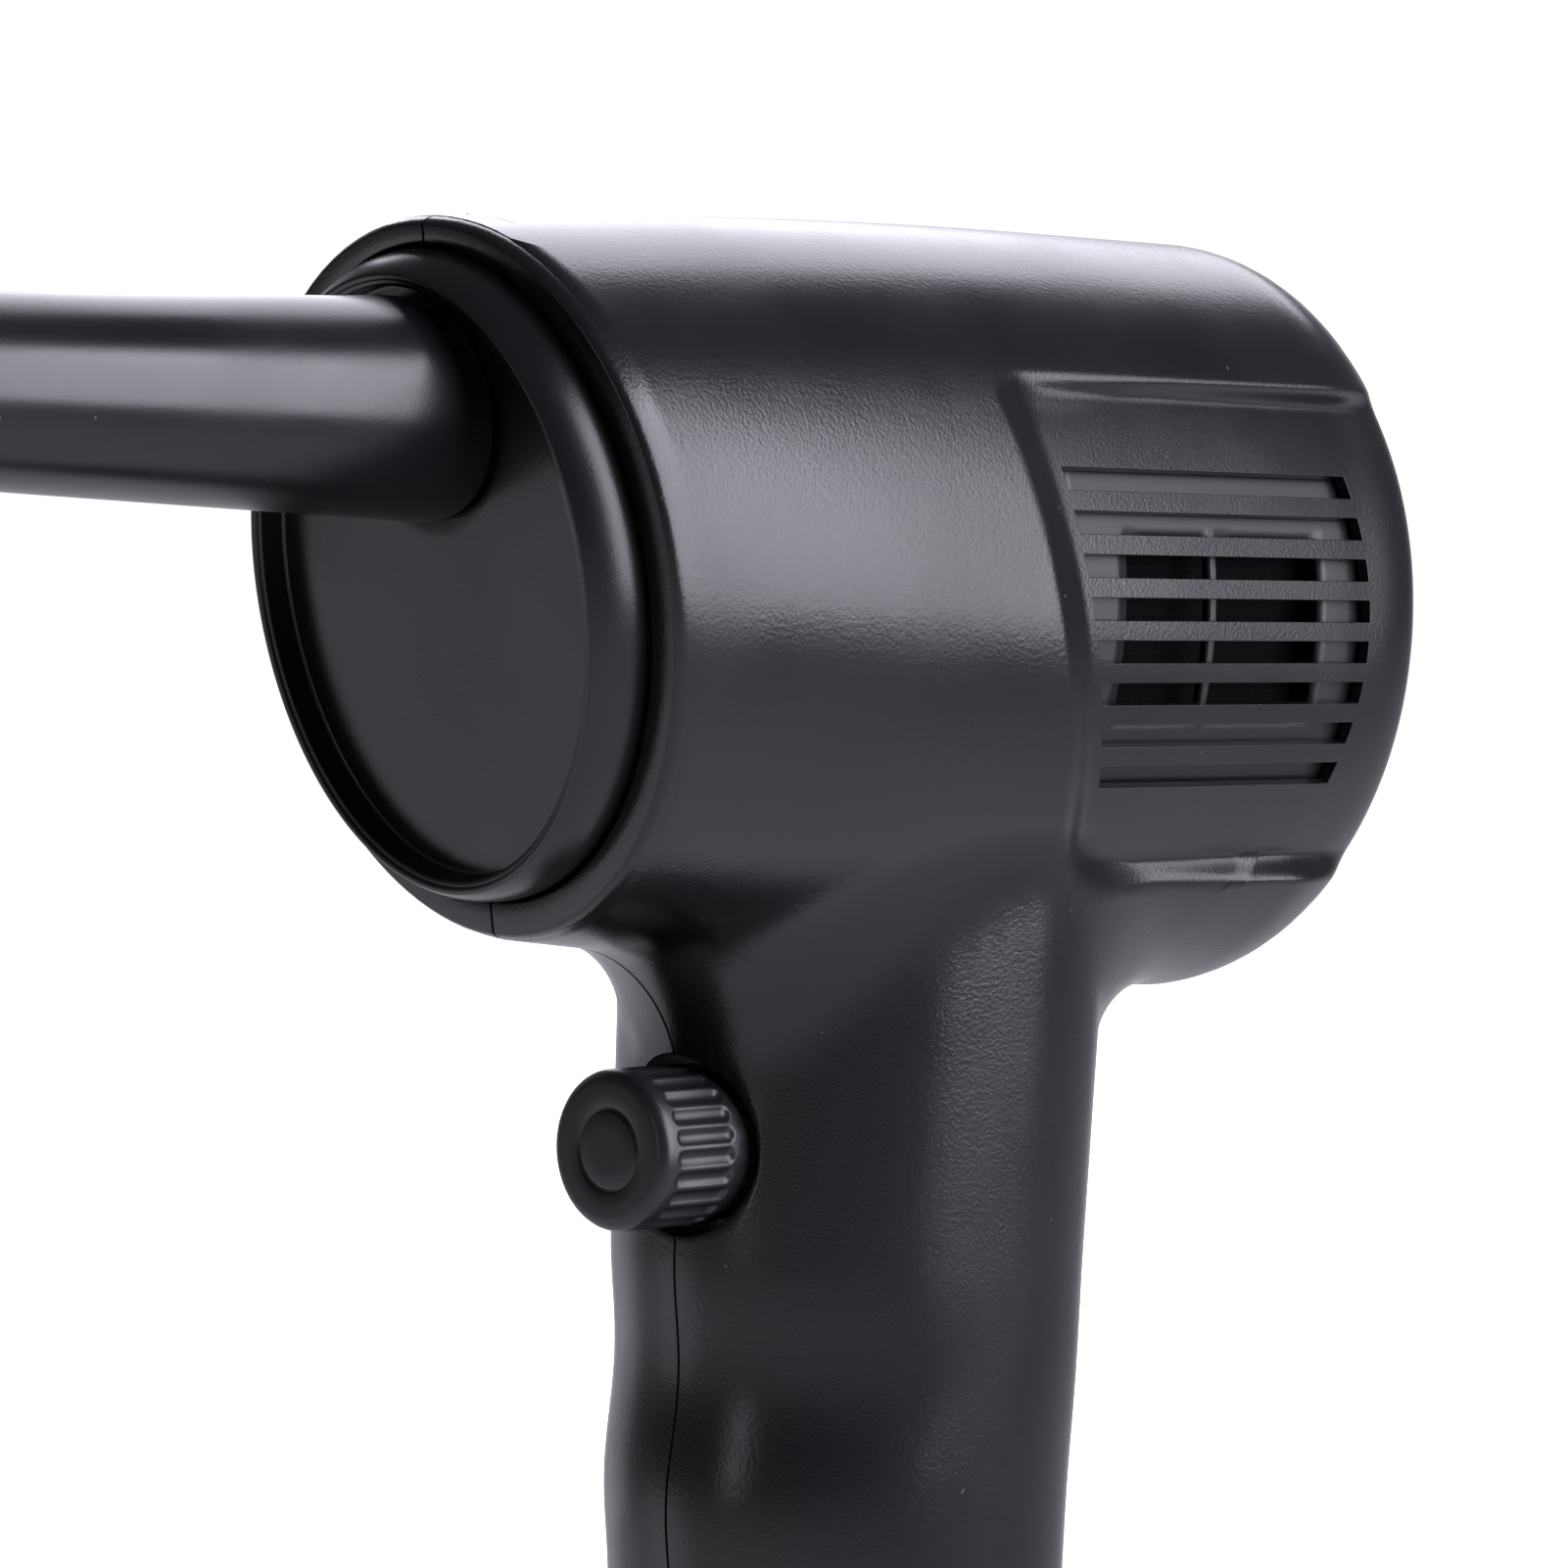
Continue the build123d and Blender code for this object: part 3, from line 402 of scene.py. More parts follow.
def barrel_at_height(y, zeta):
    """The barrel's surface at y on the long line zeta. Round the vent panel the line keeps the
    height zeta; toward the poles, the face and the rear it keeps its angle."""
    level = np.clip((zeta - MID_Z) / HALF_H, -1.0, 1.0)
    fixed = np.arcsin(level)
    angle = fixed + 0 * y
    for _ in range(12):
        wrong = zeta - barrel_point(y, angle)[..., 2]
        angle = np.clip(angle + wrong / (0.85 * HALF_H * np.maximum(np.cos(angle), 0.3)), -1.5, 1.5)
    weight = ((1.0 - smooth(*LEVEL_SHARE, np.abs(level))) * smooth(*LEVEL_FRONT, y)
              * (1.0 - smooth(*LEVEL_REAR, y)))
    return barrel_point(y, fixed * (1 - weight) + angle * weight)


def front_rows(lines):
    """The rounded edge of the slanted face, the face itself and the wall of its opening."""
    corner = face_corner(lines)
    half_w, half_h, centre = barrel_section(corner[:, 1])
    _, nx, nz = oval_distance(corner[:, 0], corner[:, 2] - centre, half_w, half_h)
    out = np.stack([nx, 0 * nx, nz], axis=-1)
    lean = (out @ FACE_AHEAD)[:, None]
    across = out - FACE_AHEAD * lean
    across /= np.linalg.norm(across, axis=-1, keepdims=True)
    full = np.arccos(np.clip(lean, -1.0, 1.0))
    middle_turn = full * FACE_TURN / 90.0

    def toward(turn):
        """The direction turned from the barrel's normal toward the face's."""
        return across * np.sin(full - turn) + FACE_AHEAD * np.cos(full - turn)

    # the big arc is tangent to the barrel, the small corner tangent to the face
    offset = toward(middle_turn) * (FACE_ROUND - FACE_CORNER)
    depth = FACE_CORNER + (offset * FACE_AHEAD).sum(axis=-1, keepdims=True)
    centre = corner - FACE_AHEAD * depth - across * (FACE_ROUND - depth * lean) / np.sin(full)
    rows = [centre + FACE_ROUND * toward(middle_turn * t) for t in np.linspace(0.0, 1.0, 7)]
    for t in np.linspace(0.0, 1.0, 3)[1:]:
        rows.append(centre + offset + FACE_CORNER * toward(middle_turn + (full - middle_turn) * t))
    angle = np.arctan2((corner - FACE_MIDDLE) @ FACE_UP / FACE_H,
                       corner[:, 0] / barrel_section(FACE_Y)[0])

    def opening(grow, depth):
        """The opening's oval, grown outward and at a depth behind the face."""
        x = (OPENING_W + grow) * np.cos(angle)
        v = (OPENING_H + grow) * np.sin(angle)
        return FACE_MIDDLE + np.outer(x, [1.0, 0.0, 0.0]) + np.outer(v, FACE_UP) - FACE_AHEAD * depth

    rows.append((rows[-1] + opening(OPENING_ROUND, 0.0)) / 2)
    for turn in np.radians([0.0, 45.0, 90.0]):
        rows.append(opening(OPENING_ROUND * (1 - math.sin(turn)), OPENING_ROUND * (1 - math.cos(turn))))
    rows += [opening(0.0, FACE_WALL / 3), opening(0.0, FACE_WALL)]
    return np.array(rows[::-1])


def rear_rows(lines):
    """The rear rounding past the last cross line, then the flat end drawn in to the parting plane."""
    rows = []
    start = math.degrees(math.asin((LAST_LINE_Y - REAR_Y + REAR_R) / REAR_R))
    for turn in np.linspace(start, 90.0, 11)[1:]:
        y = REAR_Y - REAR_R + REAR_R * math.sin(math.radians(turn))
        rows.append(barrel_at_height(y + 0 * lines, lines))
    last = rows[-1]
    for share in np.linspace(1.0, 0.0, 7)[1:]:
        flat = last.copy()
        flat[:, 0] = last[:, 0] * share
        rows.append(flat)
    return np.array(rows)


EYE_OUT = 12.0  # how far the eye lies outside border and ring, and below the ring
EYE_DOWN = 6.0
EYE_PAST = 26.0  # how far its lines run on inside the neck
NECK_FINE = 0.28  # share of the way from border to ring that has the closer rows


def neck_rows(border):
    """Rows from the barrel grid's border through the neck's rounding to a ring on the grip. Each
    point is where the form meets a line from an eye outside the neck, turned from border to ring."""
    theta = np.arctan2(border[:, 1], border[:, 0])
    theta[0], theta[-1] = -math.pi / 2, math.pi / 2
    reach_border = np.hypot(border[:, 0], border[:, 1])
    ring = grip_ring(theta, RING_Z)
    reach_ring = np.hypot(ring[:, 0], ring[:, 1])
    eye = np.maximum(reach_border, reach_ring) + EYE_OUT
    eye_z = RING_Z - EYE_DOWN
    fractions = np.concatenate([np.linspace(0.0, NECK_FINE, 24), np.linspace(NECK_FINE, 1.0, 20)[1:]])
    rows = [border]
    for f in fractions[1:-1]:
        reach = reach_border + (reach_ring - reach_border) * f
        z = border[:, 2] + (RING_Z - border[:, 2]) * f
        size = np.hypot(reach - eye, z - eye_z)
        dr, dz = (reach - eye) / size, (z - eye_z) / size
        deep = reach + EYE_PAST * dr
        inner = np.stack([deep * np.cos(theta), deep * np.sin(theta), z + EYE_PAST * dz], axis=-1)
        outer = np.stack([eye * np.cos(theta), eye * np.sin(theta), eye_z + 0 * eye], axis=-1)
        rows.append(solve(inner, outer))
    rows.append(ring)
    return np.array(rows), theta


def grip_ring(theta, z):
    """Points of the grip's oval at height z, in the directions theta."""
    half_w, half_d, centre = grip_section(np.float64(z))
    reach = 1.0 / np.sqrt((np.cos(theta) / half_w) ** 2 + (np.sin(theta) / half_d) ** 2)
    return np.stack([reach * np.cos(theta), centre + reach * np.sin(theta), z + 0 * theta], axis=-1)


# heights down the grip with the number of rings from each to the next, closer at lights and port
GRIP_RINGS = [(RING_Z, 6), (92.2, 16), (72.0, 20), (56.0, 28), (15.0, 12), (5.4, 1), (4.7, 1),
              (BOTTOM_Z, 0)]


def grip_heights():
    """Heights of the grip's rings below the neck."""
    heights = []
    for (high, count), (low, _) in zip(GRIP_RINGS[:-1], GRIP_RINGS[1:]):
        heights += spread(high, low, count)
    return np.array(heights[1:] + [BOTTOM_Z])


class Skin:
    """Grids of points gathered into one open surface."""

    def __init__(self):
        self.points = []
        self.faces = []

    def add(self, grid, keep=None):
        """A grid of shape (rows, columns, 3); keep says which cells get a face."""
        rows, columns = grid.shape[:2]
        start = len(self.points)
        self.points.extend(grid.reshape(-1, 3))
        for r in range(rows - 1):
            for c in range(columns - 1):
                if keep is None or keep[r, c]:
                    a = start + r * columns + c
                    self.faces.append((a, a + 1, a + columns + 1, a + columns))


def cut_block(grid, keep, centre, reach, axis):
    """Takes a block of cells round a centre out of a grid and returns the block's border.
    axis is the plane the centre is given in: 0 for (y, z), 1 for (x, z)."""
    other = 1 - axis
    near = np.hypot(grid[..., other] - centre[0], grid[..., 2] - centre[1]) < reach
    near &= grid[..., axis] * centre[2] > 2.0
    rows = np.where(near.any(axis=1))[0]
    columns = np.where(near.any(axis=0))[0]
    r0, r1 = rows[0] - 1, rows[-1] + 1
    c0, c1 = max(columns[0] - 1, 0), min(columns[-1] + 1, grid.shape[1] - 1)
    keep[r0:r1, c0:c1] = False
    top, bottom = grid[r0, c0:c1 + 1], grid[r1, c0:c1 + 1]
    left, right = grid[r0:r1 + 1, c0], grid[r0:r1 + 1, c1]
    if c0 == 0:
        return np.concatenate([top[:-1], right, bottom[::-1][1:]])
    if c1 == grid.shape[1] - 1:
        return np.concatenate([top[::-1][:-1], left, bottom[1:]])
    return np.concatenate([top[:-1], right[:-1], bottom[::-1][:-1], left[::-1]])


RIM_R = 0.25  # the holes' rims are rounded
ROUND_RIM = [(-0.13, 0.03), (-0.22, 0.12), (-RIM_R, RIM_R)]


def hole_rows(border, centre, shape, axis, profile):
    """Rows from a block's border to the rim of a hole, then along profile.
    shape(angle) is the hole's radius; profile lists (change of radius, depth below the rim)
    or, with a third entry True, (share of the radius, place along the axis)."""
    other = 1 - axis
    da, dz = border[:, other] - centre[0], border[:, 2] - centre[1]
    angle = np.arctan2(da, dz)
    if axis == 0:
        angle = np.unwrap(angle)
    rim = shape(angle) + RIM_R
    far = np.hypot(da, dz)
    rows = [border]

    def place(radius, along):
        """Points at a radius round the hole, at a place along its axis."""
        p = np.zeros_like(border)
        p[:, axis] = along
        p[:, other] = centre[0] + radius * np.sin(angle)
        p[:, 2] = centre[1] + radius * np.cos(angle)
        return p

    def surface(radius):
        """The same on the housing, between the parting plane and well outside."""
        return solve(place(radius, centre[2] * 0.5), place(radius, centre[2] * 60.0))

    for share in np.linspace(0.0, 1.0, 5)[1:]:
        rows.append(surface(far + (rim - far) * share))
    edge = surface(rim)
    for entry in profile:
        if len(entry) == 3:
            rows.append(place(shape(angle) * entry[0], entry[1]))
        else:
            rows.append(place(rim + entry[0], edge[:, axis] - centre[2] * entry[1]))
    return np.array(rows)

# radius of the block of cells taken out round each kind of hole
POCKET_BLOCK = POCKET_R + 1.6
LIGHT_BLOCK = 1.25
PORT_BLOCK = 5.2
SCREW_BLOCK = SCREW_RECESS_R + 0.9


def circle(radius):
    """The shape of a round hole for hole_rows."""
    return lambda angle: radius + 0 * angle


def port_shape(angle):
    """The charging port's shape, a wide oblong with round ends."""
    power = 5.0
    across, up = np.abs(np.sin(angle) / PORT_W), np.abs(np.cos(angle) / PORT_H)
    return (across ** power + up ** power) ** (-1 / power)


def housing_skin(screw_holes):
    """The outer surface of one half, for x > 0."""
    skin = Skin()
    lines = height_lines()
    cross, slot_c0, slot_c1, patch_c0 = cross_lines(lines)
    barrel = barrel_at_height(cross, lines[None, :] + 0 * cross)
    in_slot = slot_cells(lines)
    keep = np.ones((barrel.shape[0] - 1, barrel.shape[1] - 1), bool)
    keep[slot_c0:slot_c1, in_slot] = False
    top_row = int(np.argmin(np.abs(lines - PATCH_Z)))
    patch_c1 = slot_c1 - 3
    keep[patch_c0:patch_c1, :top_row] = False
    border = np.concatenate([barrel[patch_c0, :top_row], barrel[patch_c0:patch_c1, top_row],
                             barrel[patch_c1, :top_row + 1][::-1]])
    front, rear = front_rows(lines), rear_rows(lines)
    barrel = np.concatenate([front, barrel, rear])
    keep = np.concatenate([np.ones((len(front), keep.shape[1]), bool), keep,
                           np.ones((len(rear), keep.shape[1]), bool)])
    neck, theta = neck_rows(border)
    grip = np.concatenate([neck, [grip_ring(theta, z) for z in grip_heights()]])
    grip_keep = np.ones((grip.shape[0] - 1, grip.shape[1] - 1), bool)

    def add_hole(grid, cells, place, block, shape, axis, beyond_rim=()):
        """Cuts a block out of a grid and fills it up to a hole and into the hole."""
        ring = cut_block(grid, cells, place, block, axis)
        skin.add(hole_rows(ring, place, shape, axis, ROUND_RIM + list(beyond_rim)))

    add_hole(grip, grip_keep, (0.0, DIAL_Z, -1.0), POCKET_BLOCK, circle(POCKET_R), 1,
             [(1.0, POCKET_FLOOR - 0.8, True), (1.0, POCKET_FLOOR, True), (0.7, POCKET_FLOOR, True),
              (BUSH_R / POCKET_R, POCKET_FLOOR, True)])
    for z in LIGHT_Z:
        add_hole(grip, grip_keep, (0.0, z, 1.0), LIGHT_BLOCK, circle(LIGHT_R), 1)
    add_hole(grip, grip_keep, (0.0, PORT_Z, 1.0), PORT_BLOCK, port_shape, 1)
    if screw_holes:
        for y, z in SCREWS:
            on_grip = abs(y) < abs(PATCH_FRONT) and z < PATCH_Z
            grid, cells = (grip, grip_keep) if on_grip else (barrel, keep)
            add_hole(grid, cells, (y, z, 1.0), SCREW_BLOCK, circle(SCREW_RECESS_R), 0,
                     [(1.0, SCREW_SLEEVE_X, True), (1.0, SCREW_SEAT_X, True),
                      (SCREW_HOLE_R / SCREW_RECESS_R, SCREW_SEAT_X, True)])
    skin.add(barrel, keep)
    skin.add(grip, grip_keep)
    points = np.array(skin.points)
    depth = panel_depth(points)
    sunk = depth > 1e-4
    normal = form_normal(points[sunk])
    points[sunk, 0] -= depth[sunk] / np.maximum(normal[:, 0], 0.5)
    points[:, 0] = np.maximum(points[:, 0], PARTING_GAP)
    return points, skin.faces


def add_object(name, data):
    """An object with its data, put in the scene."""
    thing = bpy.data.objects.new(name, data)
    bpy.context.scene.collection.objects.link(thing)
    return thing


WELD = 0.004  # points closer than this are joined


def finish_mesh(name, points, faces, side=1):
    """A mesh object in metres, welded, its normals outward."""
    mesh = bpy.data.meshes.new(name)
    points = np.array(points) * [side * MM, MM, MM]
    mesh.from_pydata([tuple(p) for p in points], [], faces)
    work = bmesh.new()
    work.from_mesh(mesh)
    bmesh.ops.remove_doubles(work, verts=work.verts, dist=WELD * MM)
    bmesh.ops.dissolve_degenerate(work, edges=work.edges, dist=WELD * MM)
    bmesh.ops.recalc_face_normals(work, faces=work.faces)
    outermost = max(work.faces, key=lambda f: side * f.calc_center_median().x)
    if outermost.normal.x * side < 0:
        bmesh.ops.reverse_faces(work, faces=work.faces)
    work.to_mesh(mesh)
    work.free()
    mesh.shade_smooth()
    return add_object(name, mesh)


def modify(piece, kind, **settings):
    """Adds a modifier and applies it."""
    change = piece.modifiers.new(kind.lower(), kind)
    for key, value in settings.items():
        setattr(change, key, value)
    ready = piece.evaluated_get(bpy.context.evaluated_depsgraph_get())
    mesh = bpy.data.meshes.new_from_object(ready)
    piece.modifiers.clear()
    old = piece.data
    piece.data = mesh
    bpy.data.meshes.remove(old)


SLEEVE_BELOW = 0.04  # points this far under the form belong to a recess, but ahead of this y
SLEEVES_FROM_Y = -50.0  # they belong to the wall of the face's opening


def mark_walls(piece, side):
    """Notes the sunk vent panel, whose wall is thinner and finish more matt, and the thin
    sleeves of the recesses."""
    count = len(piece.data.vertices)
    points = np.empty(count * 3)
    piece.data.vertices.foreach_get("co", points)
    points = points.reshape(-1, 3) / [side * MM, MM, MM]
    share = np.clip(panel_depth(points) / PANEL_DEPTH, 0.0, 1.0)
    below = -form(points[:, 0], points[:, 1], points[:, 2])
    thickness = 1.0 - (1.0 - PANEL_WALL) * share
    behind_face = points[:, 1] > SLEEVES_FROM_Y
    thickness[(below > SLEEVE_BELOW) & (share < 0.01) & behind_face] = SLEEVE_WALL
    matt = piece.data.attributes.new("matt", "FLOAT", "POINT")
    matt.data.foreach_set("value", share)
    wall = piece.vertex_groups.new(name="wall")
    for index, part in enumerate(thickness):
        wall.add([index], float(part), "REPLACE")


def housing(side):
    """One half shell: the skin given its wall, with the edges softened."""
    name = "shell_right" if side > 0 else "shell_left"
    points, faces = housing_skin(screw_holes=side < 0)
    piece = finish_mesh(name, points, faces, side)
    mark_walls(piece, side)
    modify(piece, "SOLIDIFY", thickness=WALL * MM, offset=-1.0, use_even_offset=False,
           vertex_group="wall")
    modify(piece, "BEVEL", width=0.07 * MM, segments=2, limit_method="ANGLE",
           angle_limit=math.radians(55), use_clamp_overlap=False, harden_normals=True)
    return piece


def intake_plate(side):
    """The plate close behind the slots, its window for the air crossed by a thin bar."""
    name = "intake_plate_right" if side > 0 else "intake_plate_left"
    low_y, high_y, low_z, high_z = PLATE
    front_y, rear_y, sill_z, head_z = WINDOW
    bar_y = (BAR_Y - BAR_W / 2, BAR_Y + BAR_W / 2)
    marks = [low_y, front_y, *bar_y, rear_y, high_y]
    along = np.array(sum((spread(a, b, 6) for a, b in zip(marks[:-1], marks[1:])), []) + [high_y])
    heights = np.array(spread(low_z, sill_z, 6) + spread(sill_z, head_z, 10)
                       + spread(head_z, high_z, 6) + [high_z])
    points = barrel_at_height(*np.meshgrid(along, heights, indexing="ij"))
    sunk = panel_depth(points) + WALL * PANEL_WALL + PLATE_GAP
    points[..., 0] -= sunk / np.maximum(form_normal(points)[..., 0], 0.5)
    y = (along[:-1] + along[1:]) / 2
    z = (heights[:-1] + heights[1:]) / 2
    open_y = (y > front_y) & (y < rear_y) & ~((y > bar_y[0]) & (y < bar_y[1]))
    open_z = (z > sill_z) & (z < head_z)
    skin = Skin()
    skin.add(points, ~(open_y[:, None] & open_z[None, :]))
    piece = finish_mesh(name, skin.points, skin.faces, side)
    modify(piece, "SOLIDIFY", thickness=PLATE_T * MM, offset=-1.0, use_even_offset=False)
    return piece


# -------- cup, nozzle and dial
CUP_W = 24.4  # half width and half height at the flank's foot
CUP_H = 29.9
CUP_BACK = -5.8  # its rear edge; ahead of the face's plane is positive
CUP_WALL = 1.4  # thickness of its flank's wall and of its floor
CUP_FLOOR = 2.0
FLANK_TURN = (2.0, 41.0)  # the flank's lean at its foot and at the rim
FLANK_RISE = 4.95
FLANK_LESS = 0.2  # share by which it leans less at the top and bottom of the oval
RIM_ROUND = 0.35
LIP_FLAT = 0.42
LIP_STEP = 0.28
LIP_EDGE = 0.08
LIP_CORNER = 0.12
BOWL_DEPTH = 3.0
BOWL_ROUND = 0.35
SOCKET_R = 9.38
SOCKET_OUTER_R = 11.3
SOCKET_SEAT_Y = -35.0
SOCKET_END_Y = -33.0
BORE_R = 7.8  # of cup and nozzle


def ring_mesh(name, rows):
    """Closed rings of points joined into one closed skin, the last ring to the first."""
    columns = len(rows[0])
    faces = []
    for r in range(len(rows)):
        here, there = r * columns, ((r + 1) % len(rows)) * columns
        for c in range(columns):
            d = (c + 1) % columns
            faces.append((here + c, here + d, there + d, there + c))
    piece = finish_mesh(name, np.concatenate(rows), faces)
    piece.data.set_sharp_from_angle(angle=math.radians(50.0))
    modify(piece, "WEIGHTED_NORMAL", keep_sharp=True)
    return piece


def arc(centre, radius, start, end, steps):
    """Points (a, b) on an arc; angles in degrees from the first axis."""
    turns = np.radians(np.linspace(start, end, steps))
    return [(centre[0] + radius * math.cos(t), centre[1] + radius * math.sin(t)) for t in turns]


def circle_points(radius, angle, y, z):
    """Points at the angles of a circle square to Y, its centre at height z."""
    x = radius * np.cos(angle)
    return np.stack([x, y + 0 * x, z + radius * np.sin(angle)], axis=-1)


def plane_y(x, z, ahead):
    """The y of the face's plane, moved forward by ahead, at a point of the drawing x, z."""
    return FACE_Y - ahead / math.cos(SLANT) - (z - FACE_Z) * math.tan(SLANT) + 0 * x


def front_cup():
    """The oval cup: a flared flank, a stepped lip, a shallow bowl and the nozzle's socket."""
    start, end = (math.radians(a) for a in FLANK_TURN)
    big = FLANK_RISE / (math.sin(end) - math.sin(start))
    profile = [(0.0, CUP_BACK), (0.0, -0.5)]
    for lean in np.linspace(start, end, 15):
        profile.append((big * (math.cos(start) - math.cos(lean)), big * (math.sin(lean) - math.sin(start))))
    foot_in, foot_up = profile[-1]
    centre = (foot_in + RIM_ROUND * math.cos(end), foot_up - RIM_ROUND * math.sin(end))
    profile += arc(centre, RIM_ROUND, 180.0 - math.degrees(end), 90.0, 6)[1:]
    lip_in, lip_up = profile[-1]
    profile += [(lip_in + LIP_FLAT - LIP_EDGE, lip_up), (lip_in + LIP_FLAT, lip_up - LIP_EDGE),
                (lip_in + LIP_FLAT + 0.05, lip_up - LIP_STEP), (lip_in + 2 * LIP_FLAT, lip_up - LIP_STEP)]
    wall_in = lip_in + 2 * LIP_FLAT + LIP_CORNER
    floor_up = lip_up - BOWL_DEPTH
    profile += [(wall_in, lip_up - LIP_STEP - LIP_CORNER), (wall_in, floor_up + BOWL_ROUND)]
    profile += arc((wall_in + BOWL_ROUND, floor_up + BOWL_ROUND), BOWL_ROUND, 180.0, 270.0, 5)[1:]
    angle = np.linspace(0.0, 2 * math.pi, 257)[:-1]

    def oval(inset, ahead):
        """A ring of the cup's oval, drawn in by inset and moved ahead of the face's plane."""
        half_w = CUP_W - inset
        half_h = CUP_H - inset + FLANK_LESS * min(inset, foot_in)
        return (FACE_MIDDLE + np.outer(half_w * np.cos(angle), [1.0, 0.0, 0.0])
                + np.outer(half_h * np.sin(angle), FACE_UP) + FACE_AHEAD * ahead)

    def ring(radius, y=None, ahead=None):
        """A ring round the nozzle's axis, on a y or on the face's plane moved forward."""
        far = oval(wall_in, floor_up)
        turn = np.arctan2(far[:, 2] - NOZZLE_Z, far[:, 0])
        row = circle_points(radius, turn, y or 0.0, NOZZLE_Z)
        if y is None:
            row[:, 1] = plane_y(row[:, 0], row[:, 2], ahead)
        return row

    rows = [oval(inset, ahead) for inset, ahead in profile]
    floor_edge, mouth = rows[-1], ring(SOCKET_R + 0.25, ahead=floor_up)
    rows += [floor_edge + (mouth - floor_edge) * share for share in (0.06, 0.3, 0.6, 0.94, 1.0)]
    under = floor_up - CUP_FLOOR
    rows += [ring(SOCKET_R + 0.07, ahead=floor_up - 0.07), ring(SOCKET_R, ahead=floor_up - 0.25),
             ring(SOCKET_R, y=SOCKET_SEAT_Y), ring(BORE_R, y=SOCKET_SEAT_Y),
             ring(BORE_R, y=SOCKET_END_Y), ring(SOCKET_OUTER_R, y=SOCKET_END_Y),
             ring(SOCKET_OUTER_R, ahead=under), oval(wall_in + 0.1, under),
             oval(CUP_WALL + 0.2, under - 0.4), oval(CUP_WALL, CUP_BACK)]
    return ring_mesh("cup", rows)


NOZZLE_TIP = -166.0
NOZZLE_FOOT_Y = -60.0
NOZZLE_FOOT_R = 10.1
NOZZLE_TAPER = 0.036
NOZZLE_ROUND = 0.8
TUBE_Y = (-70.0, -62.5)  # where the plain tube's rows end, and where the foot's radius is taken
TIP_ROUND = 0.6
TIP_BORE_R = 4.7
BORE_TAPER_Y = (-63.0, -152.0)  # between these the bore narrows from BORE_R to TIP_BORE_R
SPIGOT_R = 9.3
SPIGOT_FRONT_Y = -57.6
SPIGOT_BACK_Y = -35.3
SPIGOT_CHAMFER = 0.3
SEAL_R = 8.1  # groove for the seal ring
SEAL_Y = (-45.0, -43.0)
FOOT_GAP = 0.08  # between the foot and the cup's floor


def nozzle():
    """The tapered tube, rounded at its foot on the cup's slanted floor, with its spigot and bore."""
    angle = np.linspace(0.0, 2 * math.pi, 193)[:-1]
    floor_up = FLANK_RISE + RIM_ROUND * (1 - math.sin(math.radians(FLANK_TURN[1]))) - BOWL_DEPTH

    def ring(radius, y):
        return circle_points(radius, angle, y, NOZZLE_Z)

    def foot(radius, ahead):
        """A ring on the cup's slanted floor, moved ahead of it."""
        row = ring(radius, 0.0)
        row[:, 1] = plane_y(row[:, 0], row[:, 2], floor_up + FOOT_GAP + ahead)
        return row

    def radius_at(y):
        return NOZZLE_FOOT_R + NOZZLE_TAPER * (y - NOZZLE_FOOT_Y)

    tip = (radius_at(NOZZLE_TIP) - TIP_ROUND, NOZZLE_TIP + TIP_ROUND)
    rows = [ring(TIP_BORE_R + 0.3, NOZZLE_TIP)]
    rows += [ring(r, y) for r, y in arc(tip, TIP_ROUND, 270.0, 360.0, 6)]
    rows += [ring(radius_at(y), y) for y in np.linspace(NOZZLE_TIP + 4.0, TUBE_Y[0], 12)]
    foot_r = radius_at(TUBE_Y[1])
    rows += [foot(foot_r - 0.02, 4.0), foot(foot_r, 2.0)]
    rows += [foot(foot_r - NOZZLE_ROUND * (1 - math.cos(t)), 2 * NOZZLE_ROUND * (1 - math.sin(t)))
             for t in np.linspace(0.0, math.pi / 2, 7)]
    rows += [ring(SPIGOT_R, SPIGOT_FRONT_Y), ring(SPIGOT_R, SEAL_Y[0]), ring(SEAL_R, SEAL_Y[0]),
             ring(SEAL_R, SEAL_Y[1]), ring(SPIGOT_R, SEAL_Y[1]),
             ring(SPIGOT_R, SPIGOT_BACK_Y - SPIGOT_CHAMFER), ring(SPIGOT_R - SPIGOT_CHAMFER, SPIGOT_BACK_Y),
             ring(BORE_R, SPIGOT_BACK_Y), ring(BORE_R, BORE_TAPER_Y[0]), ring(TIP_BORE_R, BORE_TAPER_Y[1]),
             ring(TIP_BORE_R, NOZZLE_TIP + 0.3)]
    return ring_mesh("nozzle_pipe", rows)


DIAL_FRONT = -33.3
DIAL_R = 7.65
DIAL_LENGTH = 12.6
DIAL_ROUND = 1.3
DIAL_GROOVE_R = 3.88  # the ring groove in its front: (change of radius, depth)
DIAL_GROOVE = [(-0.43, 0.0), (-0.3, 0.04), (-0.18, 0.2), (0.0, 0.3), (0.18, 0.2), (0.3, 0.04), (0.43, 0.0)]
DIAL_HOLLOW_R = 6.0  # its hollow rear, from this far behind the front
DIAL_HOLLOW_FROM = 8.6
SHAFT_R = 3.01  # the shaft's hole, from this far behind the front
SHAFT_FROM = 3.0
FLUTES = 24
FLUTE_HALF = 0.82
FLUTE_DEPTH = 0.42
FLUTE_STRAIGHT = (2.75, 8.6)


